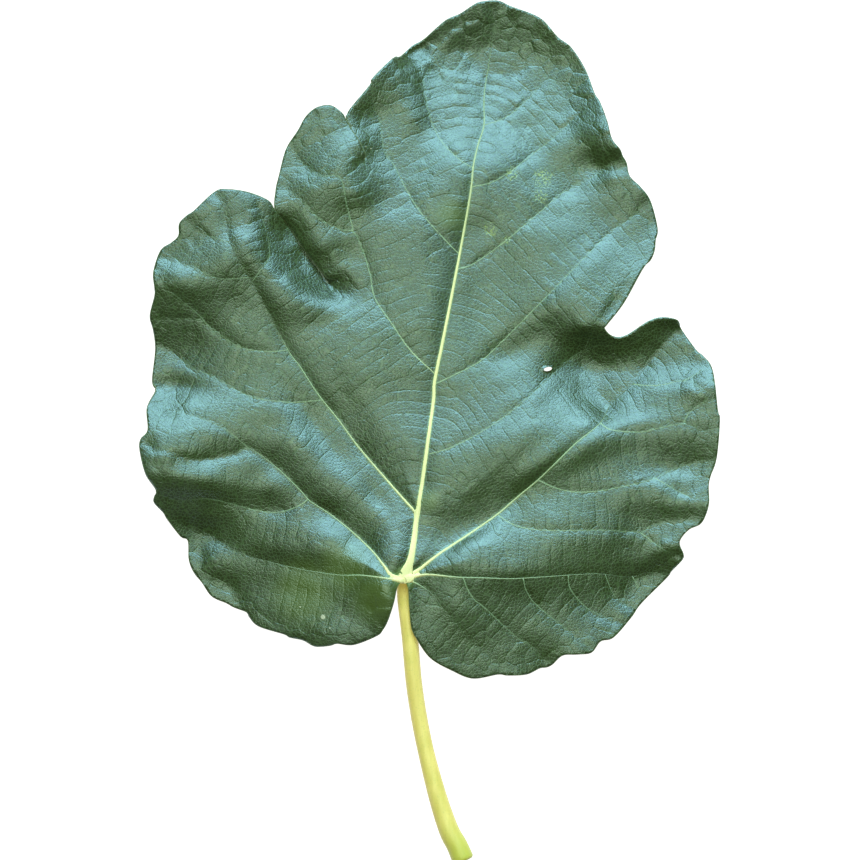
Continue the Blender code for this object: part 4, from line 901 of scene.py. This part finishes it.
class Sheet:
    """Triangles over the plan, with points along the margin, the hole, the ribs and some more lines."""

    def __init__(self, form, step, extra):
        edges = [form.margin, hole_outline()]
        ends = np.cumsum([len(edge) for edge in edges])
        outlines = [list(range(ends[0])), list(range(ends[0], ends[1]))]
        points = self.scatter(form, step, extra, np.vstack(edges))
        flat, _, faces, origins, _, face_origins = delaunay_2d_cdt(
            [Vector(point) for point in points], [], outlines, 1, 1e-5
        )
        kept = [face for face, origin in zip(faces, face_origins) if set(origin) == {0}]
        used = sorted({v for face in kept for v in face})
        number = {old: new for new, old in enumerate(used)}
        made = {given: number[old] for old, group in enumerate(origins) if old in number for given in group}
        self.rims = [[made[k] for k in outline] for outline in outlines]
        self.points = np.array([flat[v] for v in used])
        self.triangles = np.array([
            (number[face[0]], number[face[k]], number[face[k + 1]])
            for face in kept for k in range(1, len(face) - 1)
        ])

    def scatter(self, form, step, extra, rim):
        """Points of the rim, of the lines inside it, and of an even grid between them."""
        along_ribs = np.vstack([form.main_lines.at[::2], form.side_lines.at[::2]])
        lines = thinned(np.vstack([along_ribs, extra]), min(step, LINE_STEP) * LINE_SHARE)
        lines = lines[Nearest(rim).find(lines)[1] > RIM_CLEARANCE]
        lines = lines[form.inside(lines) > 0]
        low, high = form.margin.min(axis=0), form.margin.max(axis=0)
        grid = []
        for j, y in enumerate(np.arange(low[1], high[1], step * math.sqrt(3) / 2)):
            grid += [(x, y) for x in np.arange(low[0] + (j % 2) * step / 2, high[0], step)]
        grid = np.array(grid)
        grid = grid[Nearest(np.vstack([rim, lines])).find(grid)[1] > step * GRID_SHARE]
        return np.vstack([rim, lines, grid[form.inside(grid) > 0]])


class Measures:
    """What the relief and the colours need to know at each point of a sheet."""

    def __init__(self, form, net, points):
        ribs = form.measure(points)
        self.main_gap, _, self.main_half, self.side_away, self.side_pale = ribs
        self.edge = np.maximum(form.inside(points), 0)
        self.resting = form.underside(points, ribs)
        self.net, self.links, self.tilt, self.rise = net.measure(points)
        self.tip = tip_share(points)

    def relief(self):
        """Rise of the cells between the veins over the resting form."""
        rib = np.minimum(np.maximum(self.main_gap, 0), self.side_away)
        free = np.minimum(np.minimum(self.net, rib), self.links * LINK_LEVEL[1] + LINK_LEVEL[0])
        rounded = 1 - np.exp(-free / BULGE_ROUNDING)
        ruffled = MARGIN_RUFFLE * np.exp(-self.edge / BULGE_REACH) + (1 - MARGIN_RUFFLE) * self.tip
        height = BULGE[0] + BULGE[1] * ruffled
        tilt = CELL_TILT[0] + CELL_TILT[1] * ruffled
        return height * (self.rise * rounded - BULGE_LEVEL) + self.tilt * tilt * rounded

    def upper(self):
        drop = EDGE_DROP[0] * np.exp(-self.edge / EDGE_DROP[1])
        return self.resting + SHEET_TOP + self.relief() - drop

    def under(self):
        thickness = EDGE_SHEET + (SHEET - EDGE_SHEET) * (1 - np.exp(-self.edge / EDGE_REACH))
        ridge = UNDER_RIDGE[0] * np.exp(-(self.net / UNDER_RIDGE[1]) ** 2)
        return np.maximum(self.upper() - thickness - ridge, LOWEST)


def placed(name, data):
    """A new object of the scene with this mesh, light or camera."""
    made = bpy.data.objects.new(name, data)
    bpy.context.scene.collection.objects.link(made)
    return made


def mesh_object(name, points, faces, material, attributes):
    """A smooth mesh from points in millimetres, with named values on its points."""
    mesh = bpy.data.meshes.new(name)
    mesh.from_pydata((points / 1000).tolist(), [], faces)
    mesh.validate()
    for label, values in attributes.items():
        layer = mesh.attributes.new(label, "FLOAT", "POINT")
        layer.data.foreach_set("value", np.asarray(values, np.float32))
    mesh.shade_smooth()
    mesh.materials.append(material)
    return placed(name, mesh)


def flat_map(made, count_upper):
    """A map of the blade seen from above and, beside it, of its underside."""
    mesh = made.data
    corners = np.empty(len(mesh.loops), np.int32)
    mesh.loops.foreach_get("vertex_index", corners)
    places = np.empty(len(mesh.vertices) * 3, np.float32)
    mesh.vertices.foreach_get("co", places)
    places = places.reshape(-1, 3)[:, :2]
    spots = 0.01 + (places - places.min(axis=0)) / (2 * np.ptp(places[:, 0])) * 0.96
    totals = np.empty(len(mesh.polygons), np.int32)
    mesh.polygons.foreach_get("loop_total", totals)
    starts = np.append(0, np.cumsum(totals)[:-1])
    face_upper = np.maximum.reduceat((corners < count_upper).astype(int), starts)
    uv = spots[corners] + np.outer(1 - np.repeat(face_upper, totals), (0.5, 0))
    mesh.uv_layers.new(name="OFBake").data.foreach_set("uv", uv.astype(np.float32).ravel())


def make_blade(form, net, material):
    """The blade as one closed skin: a fine upper side, a coarser underside and the narrow edge between."""
    upper, under = Sheet(form, UPPER_STEP, net.knots), Sheet(form, UNDER_STEP, np.empty((0, 2)))
    above, below = Measures(form, net, upper.points), Measures(form, net, under.points)
    count = len(upper.points)
    faces = upper.triangles.tolist() + (under.triangles[:, ::-1] + count).tolist()
    for top_rim, bottom_rim in zip(upper.rims, under.rims):
        for k in range(len(top_rim)):
            after = (k + 1) % len(top_rim)
            faces.append((top_rim[k], bottom_rim[k] + count, bottom_rim[after] + count, top_rim[after]))
    points = np.vstack([
        np.column_stack([upper.points, above.upper()]), np.column_stack([under.points, below.under()])
    ])
    for flap in FLAPS:
        shares = flap_shares(points[:, :2], flap)
        points[:, :2] += np.outer(shares, np.multiply(flap[2], (SQUARE, -SQUARE)))
        points[:, 2] += shares**2 * flap[3]
    names = ("main_gap", "main_half", "side_away", "side_pale", "net", "links", "edge")
    attributes = {name: np.concatenate([getattr(above, name), getattr(below, name)]) for name in names}
    attributes["underside"] = np.arange(len(points)) >= count
    made = mesh_object("leaf_blade_skin", points, faces, material, attributes)
    flat_map(made, count)
    return made


def rib_tube(form, net, route, shown, keel, depth, rise):
    """Rings of points round a rib, a low strip on the blade and a round keel below. Gives each ring's share
    of the route and its half width from above too."""
    path = smooth_curve(plan(route), RIB_STEP)
    share = path_lengths(path) / path_lengths(path)[-1]
    right = right_of(path)
    half_top = np.interp(share, *zip(*shown))
    half_low = keel[0] + (keel[1] - keel[0]) * share
    deep = depth[0] + (depth[1] - depth[0]) * share
    middle = Measures(form, net, path)
    top, bottom = middle.upper() - RIB_SUNK, middle.under() + RIB_SUNK
    wide = np.maximum(half_low, half_top) + RIB_BESIDE
    sides = [form.underside(path + right * wide[:, None] * way) for way in (1, -1)]
    slope = (sides[0] - sides[1]) / (2 * wide)
    cos, sin = np.cos(round_angles(RIB_SIDES)), np.sin(round_angles(RIB_SIDES))
    above = sin > 1e-6
    rings = []
    for k in range(len(path)):
        across = cos * np.where(above, half_top[k], half_low[k])
        strip = top[k] + (rise * min(1, half_top[k] / FULL_HALF) + RIB_SUNK) * sin
        up = np.where(above, strip, bottom[k] + (deep[k] + RIB_SUNK) * sin)
        up = np.maximum(up + slope[k] * across, 0.0)
        rings.append(np.column_stack([path[k] + np.outer(across, right[k]), up]))
    return rings, share, half_top


def tube_faces(rings, start):
    size = len(rings[0])
    last = start + (len(rings) - 1) * size
    faces = [tuple(range(start, start + size))[::-1], tuple(range(last, last + size))]
    for i in range(len(rings) - 1):
        for k in range(size):
            a, b = start + i * size + k, start + i * size + (k + 1) % size
            faces.append((a, b, b + size, a + size))
    return faces


def stalk_axis():
    """The stalk's axis in space and its radius at each point, from inside the hub to the cut end."""
    path = smooth_curve(plan(STALK_ROUTE), STALK_STEP)
    lengths = path_lengths(path)
    flare = np.clip(1 - (lengths[-1] - lengths) / STALK_FLARE[0], 0, 1) ** STALK_FLARE[1]
    neck = np.clip(1 - lengths / STALK_NECK[0], 0, 1)
    radii = STALK_RADIUS * (1 - STALK_NECK[1] * neck) + (STALK_END_RADIUS - STALK_RADIUS) * flare
    down = smooth_share(lengths / STALK_DOWN_AT)
    level = radii + (STALK_TOP_HEIGHT - STALK_RADIUS) * (1 - down)
    level += STALK_RISE[0] * np.exp(-(lengths / STALK_RISE[1]) ** 2)
    return np.column_stack([path, level]), radii


def stalk_rings():
    """Rings round the stalk, which has shallow furrows."""
    axis, radii = stalk_axis()
    along = directions(axis)
    end, end_way, end_radius = axis[-1], along[-1], radii[-1]
    for ahead, shrunk in STALK_CUT:
        axis = np.vstack([axis, end + end_way * ahead])
        along = np.vstack([along, end_way])
        radii = np.append(radii, end_radius * shrunk)
    angles = round_angles(STALK_SIDES)
    rings = []
    for number, (centre, forward, radius) in enumerate(zip(axis, along, radii)):
        across = np.cross(forward, (0, 0, 1))
        across /= np.linalg.norm(across)
        up = np.cross(across, forward)
        twist = FURROW_TWIST[0] * math.sin(number * FURROW_TWIST[1])
        furrow = 1 + FURROWS[1] * np.cos(FURROWS[0] * angles + twist)
        ring = centre + np.outer(np.cos(angles) * radius * furrow, up)
        ring -= np.outer(np.sin(angles) * radius * furrow, across)
        ring[:, 2] = np.maximum(ring[:, 2], 0)
        rings.append(ring)
    return rings


def hub_rings(form, net):
    """The low dome that the ribs leave from."""
    centre = plan(HUB_CENTRE)[0]
    top = Measures(form, net, centre[None]).upper()[0]
    angles = round_angles(STALK_SIDES)
    ring = np.stack([np.cos(angles), np.sin(angles)], axis=1) * HUB_HALF
    rings = []
    for turn in np.linspace(*HUB_TURNS):
        rise = top - HUB_SUNK + (HUB_RISE + HUB_SUNK) * math.sin(turn) * (1 if turn > 0 else HUB_STEEPER)
        rings.append(np.column_stack([centre + ring * math.cos(turn), np.full(len(ring), rise)]))
    return rings


def make_stalk_and_ribs(form, net, material):
    """The stalk, the hub over its top, and every rib, as one piece."""
    points, faces, parts, tones = [], [], [], []

    def add(rings, part, tone):
        faces.extend(tube_faces(rings, sum(len(group) for group in points)))
        points.append(np.vstack(rings))
        parts.append(np.full(len(points[-1]), part))
        tones.append(np.repeat(tone, len(rings[0])))

    rings = stalk_rings()
    add(rings, 0, np.arange(len(rings)) / (len(rings) - 1))
    for route, shown, keel, depth, _ in MAIN_RIBS.values():
        rings, _, half_top = rib_tube(form, net, route, shown, keel, depth, RIB_RISE)
        add(rings, 1, np.interp(half_top, *RIB_TONES))
    for pale, route in SIDE_RIBS:
        rings, share, _ = rib_tube(form, net, route, SIDE_SHOWN, SIDE_KEEL, SIDE_DEPTH, SIDE_RISE)
        add(rings, 1, SIDE_TONE * paleness(pale, share))
    rings = hub_rings(form, net)
    add(rings, 1, np.ones(len(rings)))
    attributes = {"part": np.concatenate(parts), "tone": np.concatenate(tones)}
    return mesh_object("stalk_and_ribs_skin", np.vstack(points), faces, material, attributes)


class Shader:
    """Builds one material's nodes."""

    def __init__(self, name):
        self.material = bpy.data.materials.new(name)
        self.material.use_nodes = True
        self.tree = self.material.node_tree
        self.surface = self.tree.nodes["Principled BSDF"]
        coordinates = self.tree.nodes.new("ShaderNodeTexCoord")
        scaled = self.vector("SCALE", coordinates.outputs["Object"])
        scaled.inputs["Scale"].default_value = 1000
        self.place = scaled.outputs["Vector"]

    def feed(self, socket, value):
        """A link from another socket, or a fixed value."""
        if isinstance(value, bpy.types.NodeSocket):
            self.tree.links.new(value, socket)
        else:
            socket.default_value = value

    def fix(self, **values):
        """Fixed values of the surface, by their names with a low line for each space."""
        for name, value in values.items():
            self.surface.inputs[name.replace("_", " ")].default_value = value

    def vector(self, operation, *values):
        node = self.tree.nodes.new("ShaderNodeVectorMath")
        node.operation = operation
        for socket, value in zip(node.inputs, values):
            self.feed(socket, value)
        return node

    def math(self, operation, a, b):
        node = self.tree.nodes.new("ShaderNodeMath")
        node.operation = operation
        self.feed(node.inputs[0], a)
        self.feed(node.inputs[1], b)
        return node.outputs["Value"]

    def times(self, a, b):
        return self.math("MULTIPLY", a, b)

    def attribute(self, name):
        node = self.tree.nodes.new("ShaderNodeAttribute")
        node.attribute_name = name
        return node.outputs["Fac"]

    def fade(self, value, low, high, at_low=0.0, at_high=1.0):
        """A smooth passage from one value to another while the input goes from low to high."""
        node = self.tree.nodes.new("ShaderNodeMapRange")
        node.interpolation_type = "SMOOTHSTEP"
        for label, number in (("From Min", low), ("From Max", high), ("To Min", at_low), ("To Max", at_high)):
            self.feed(node.inputs[label], number)
        self.feed(node.inputs["Value"], value)
        return node.outputs["Result"]

    def noise(self, size, detail, stretch=None):
        """Noise with features of about this size in millimetres."""
        node = self.tree.nodes.new("ShaderNodeTexNoise")
        place = self.vector("MULTIPLY", self.place, stretch).outputs["Vector"] if stretch else self.place
        self.feed(node.inputs["Vector"], place)
        node.inputs["Scale"].default_value = 1 / size
        node.inputs["Detail"].default_value = detail
        return node.outputs["Fac"]

    def cells(self, size):
        """Distance from the nearest wall between irregular cells of about this size, as a share of it."""
        node = self.tree.nodes.new("ShaderNodeTexVoronoi")
        node.feature = "DISTANCE_TO_EDGE"
        self.feed(node.inputs["Vector"], self.place)
        node.inputs["Scale"].default_value = 1 / size
        return node.outputs["Distance"]

    def mix(self, share, a, b):
        """Two colours, the second in this share."""
        node = self.tree.nodes.new("ShaderNodeMix")
        node.data_type = "RGBA"
        self.feed(node.inputs["Factor"], share)
        for socket, colour in ((node.inputs[6], a), (node.inputs[7], b)):
            self.feed(socket, colour if isinstance(colour, bpy.types.NodeSocket) else (*colour, 1))
        return node.outputs[2]

    def layers(self, colour, *layers):
        """Colours laid over the first one in turn, each in its own share."""
        for share, over in layers:
            colour = self.mix(share, colour, over)
        return colour

    def bump(self, height, distance, after=None):
        """A relief of this many millimetres, on top of another."""
        node = self.tree.nodes.new("ShaderNodeBump")
        node.inputs["Distance"].default_value = distance / 1000
        node.inputs["Strength"].default_value = 1.0
        self.feed(node.inputs["Height"], height)
        if after is not None:
            self.feed(node.inputs["Normal"], after)
        return node.outputs["Normal"]

    def spots(self, marks, low, high):
        """Share that is whole within the low part of any of these marks and gone beyond the high one."""
        total = 0.0
        flat = self.vector("MULTIPLY", self.place, (1, 1, 0)).outputs["Vector"]
        for x, y, size in marks:
            centre = (*plan((x, y))[0].tolist(), 0)
            far = self.vector("DISTANCE", flat, centre).outputs["Value"]
            total = self.math("MAXIMUM", self.fade(far, low * size, high * size, 1.0, 0.0), total)
        return total


def blade_green(shader, net, small_net):
    """The blade's green from above, before its ribs, with a pale margin line that is partly painted light."""
    broad, patch, grain = shader.noise(28.0, 3.0), shader.noise(5.0, 3.0), shader.noise(0.55, 2.0)
    mottle = shader.times(shader.spots(MOTTLES, 0.3, 1.0), shader.fade(grain, 0.45, 0.6))
    return shader.layers(
        (0.022, 0.032, 0.003),
        (shader.fade(broad, 0.35, 0.65), (0.030, 0.046, 0.006)),
        (shader.fade(patch, 0.3, 0.75, 0.0, 0.5), (0.033, 0.046, 0.005)),
        (shader.fade(grain, 0.3, 0.7, 0.0, 0.25), (0.008, 0.015, 0.002)),
        (shader.fade(small_net, 0.02, 0.14, 0.5, 0.0), (0.075, 0.135, 0.04)),
        (shader.fade(net, 0.04, 0.20, 0.25, 0.0), (0.05, 0.085, 0.025)),
        (shader.spots(YELLOWER, 0.2, 1.0), (0.065, 0.10, 0.014)),
        (shader.times(mottle, shader.fade(small_net, 0.02, 0.2, 0.8, 0.25)), (0.30, 0.38, 0.05)),
        (shader.times(shader.spots(SCARS, 0.5, 1.0), 0.85), (0.45, 0.45, 0.30)),
        # Pale line along the margin: partly the margin's own colour, partly painted light that lifts the
        # shade on the rounded-off rim
        (shader.fade(shader.attribute("edge"), 0.05, 0.35, 0.7, 0.0), (0.17, 0.22, 0.10)),
    )


def beside_ribs(shader, green):
    """The green with its pale side ribs, and lighter beside the main ribs and round the hub."""
    broken = shader.fade(shader.noise(1.4, 2.0), 0.38, 0.6, 0.3, 1.0)
    line = shader.times(shader.attribute("side_pale"), broken)
    line = shader.times(line, shader.fade(shader.attribute("side_away"), 0.10, 0.28, 1.0, 0.0))
    wide = shader.fade(shader.attribute("main_half"), 0.1, 0.5)
    halo = shader.times(wide, shader.fade(shader.attribute("main_gap"), 0.0, 0.6, 0.5, 0.0))
    return shader.layers(
        green,
        (line, (0.19, 0.33, 0.16)),
        (halo, (0.12, 0.22, 0.06)),
        (shader.spots([(*HUB_CENTRE, HUB_GREEN)], 0.3, 1.0), (0.13, 0.22, 0.05)),
    )


def blade_below(shader, net, small_net):
    """The paler green of the underside."""
    return shader.layers(
        (0.15, 0.20, 0.10),
        (shader.fade(shader.noise(28.0, 3.0), 0.3, 0.7), (0.19, 0.24, 0.125)),
        (shader.fade(net, 0.1, 0.4, 0.6, 0.0), (0.26, 0.32, 0.15)),
        (shader.fade(small_net, 0.02, 0.1, 0.4, 0.0), (0.24, 0.30, 0.14)),
    )


def blade_material():
    """A waxy green skin above and a duller, paler one below."""
    shader = Shader("leaf blade look")
    net, links, under = (shader.attribute(name) for name in ("net", "links", "underside"))
    small_net = shader.cells(1.05)
    green = beside_ribs(shader, blade_green(shader, net, small_net))
    colour = shader.mix(under, green, blade_below(shader, net, small_net))
    shader.feed(shader.surface.inputs["Base Color"], colour)
    rough = shader.fade(shader.noise(5.0, 3.0), 0.3, 0.7, 0.34, 0.42)
    rough = shader.math("ADD", rough, shader.times(under, 0.28))
    shader.feed(shader.surface.inputs["Roughness"], rough)
    shader.fix(IOR=1.6, Specular_IOR_Level=1.0, Specular_Tint=(0.62, 0.92, 1.0, 1))
    crease = shader.math("MINIMUM", shader.fade(net, 0.0, 0.4), shader.fade(links, 0.0, 0.3, 0.5))
    relief = shader.bump(crease, 0.045)
    relief = shader.bump(shader.fade(small_net, 0.0, 0.2), 0.030, relief)
    relief = shader.bump(shader.noise(0.45, 2.0), 0.013, relief)
    shader.feed(shader.surface.inputs["Normal"], relief)
    return shader.material


def stalk_material():
    """Yellow green along the stalk, and green to cream on the ribs by their width."""
    shader = Shader("stalk and ribs look")
    part, tone = shader.attribute("part"), shader.attribute("tone")
    streaks = shader.noise(1.4, 4.0, stretch=(1.0, 0.10, 1.0))
    speck = shader.noise(0.5, 2.0)
    stalk = shader.layers(
        (0.72, 0.57, 0.14),
        (shader.fade(streaks, 0.3, 0.7), (0.80, 0.65, 0.18)),
        (shader.fade(shader.noise(7.0, 3.0), 0.45, 0.7, 0.0, 0.5), (0.60, 0.52, 0.10)),
        (shader.fade(tone, 0.72, 0.95, 0.0, 0.85), (0.43, 0.47, 0.05)),
    )
    rib = shader.layers(
        (0.03, 0.055, 0.02),
        (shader.fade(tone, 0.0, 0.5), (0.28, 0.41, 0.23)),
        (shader.fade(tone, 0.5, 1.0), (0.81, 0.79, 0.37)),
    )
    specks = shader.fade(speck, 0.55, 0.75, 0.0, 0.25)
    colour = shader.layers(stalk, (part, rib), (specks, (0.30, 0.34, 0.08)))
    shader.feed(shader.surface.inputs["Base Color"], colour)
    shader.fix(Roughness=0.45)
    shader.feed(shader.surface.inputs["Normal"], shader.bump(speck, 0.02, shader.bump(streaks, 0.04)))
    return shader.material


def floor_material():
    shader = Shader("pale floor")
    shader.fix(Base_Color=(0.35, 0.32, 0.31, 1), Emission_Color=(1, 1, 1, 1), Emission_Strength=1.0)
    shader.fix(Roughness=0.9, Specular_IOR_Level=0.1)
    return shader.material


def make_floor():
    mesh = bpy.data.meshes.new("floor")
    corners = [(x * FLOOR_HALF, y * FLOOR_HALF, FLOOR_LEVEL) for x, y in ((-1, -1), (1, -1), (1, 1), (-1, 1))]
    mesh.from_pydata(corners, [], [(0, 1, 2, 3)])
    mesh.materials.append(floor_material())
    made = placed("floor", mesh)


def area_light(name, azimuth, elevation, far, size, watts, colour):
    """A rectangular light that faces the leaf. Azimuth 0 is the direction of the leaf's tip."""
    light = bpy.data.lights.new(name, "AREA")
    light.shape = "RECTANGLE"
    light.size, light.size_y = size
    light.energy = watts
    light.color = colour
    made = placed(name, light)
    (ahead, aside), (flat, up) = cos_sin(azimuth), cos_sin(elevation)
    made.location = (far * flat * aside, far * flat * ahead, far * up)
    made.rotation_euler = (-made.location).to_track_quat("-Z", "Y").to_euler()


def set_light():
    """A large cool window beyond the tip, a warm ceiling over the leaf, and almost no other light."""
    world = bpy.data.worlds.new("studio")
    world.use_nodes = True
    background = world.node_tree.nodes["Background"]
    background.inputs["Color"].default_value = SKY
    background.inputs["Strength"].default_value = SKY_STRENGTH
    bpy.context.scene.world = world
    area_light("window", *WINDOW)
    area_light("ceiling", *CEILING)
    view = bpy.context.scene.view_settings
    view.view_transform = "Standard"
    view.look = "None"
    view.exposure = 0
    view.gamma = 1


def set_camera():
    """Straight above, with a long lens and the leaf's tip at the top of the picture."""
    camera = bpy.data.cameras.new("camera")
    camera.sensor_width = SENSOR
    camera.lens = LENS
    made = placed("camera", camera)
    x, y = plan(PICTURE_MIDDLE)[0] / 1000
    made.location = (x, y, PICTURE_LEVEL + PICTURE * SQUARE / 1000 * camera.lens / camera.sensor_width)
    bpy.context.scene.camera = made


def main():
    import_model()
    form = Form()
    net = CrossVeins(form)
    blade = make_blade(form, net, blade_material())
    stalk = make_stalk_and_ribs(form, net, stalk_material())
    for piece, node in ((blade, "leaf_blade"), (stalk, "stalk_and_ribs")):
        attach(piece, "root")
        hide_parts(node)
    make_floor()
    set_light()
    set_camera()


main()
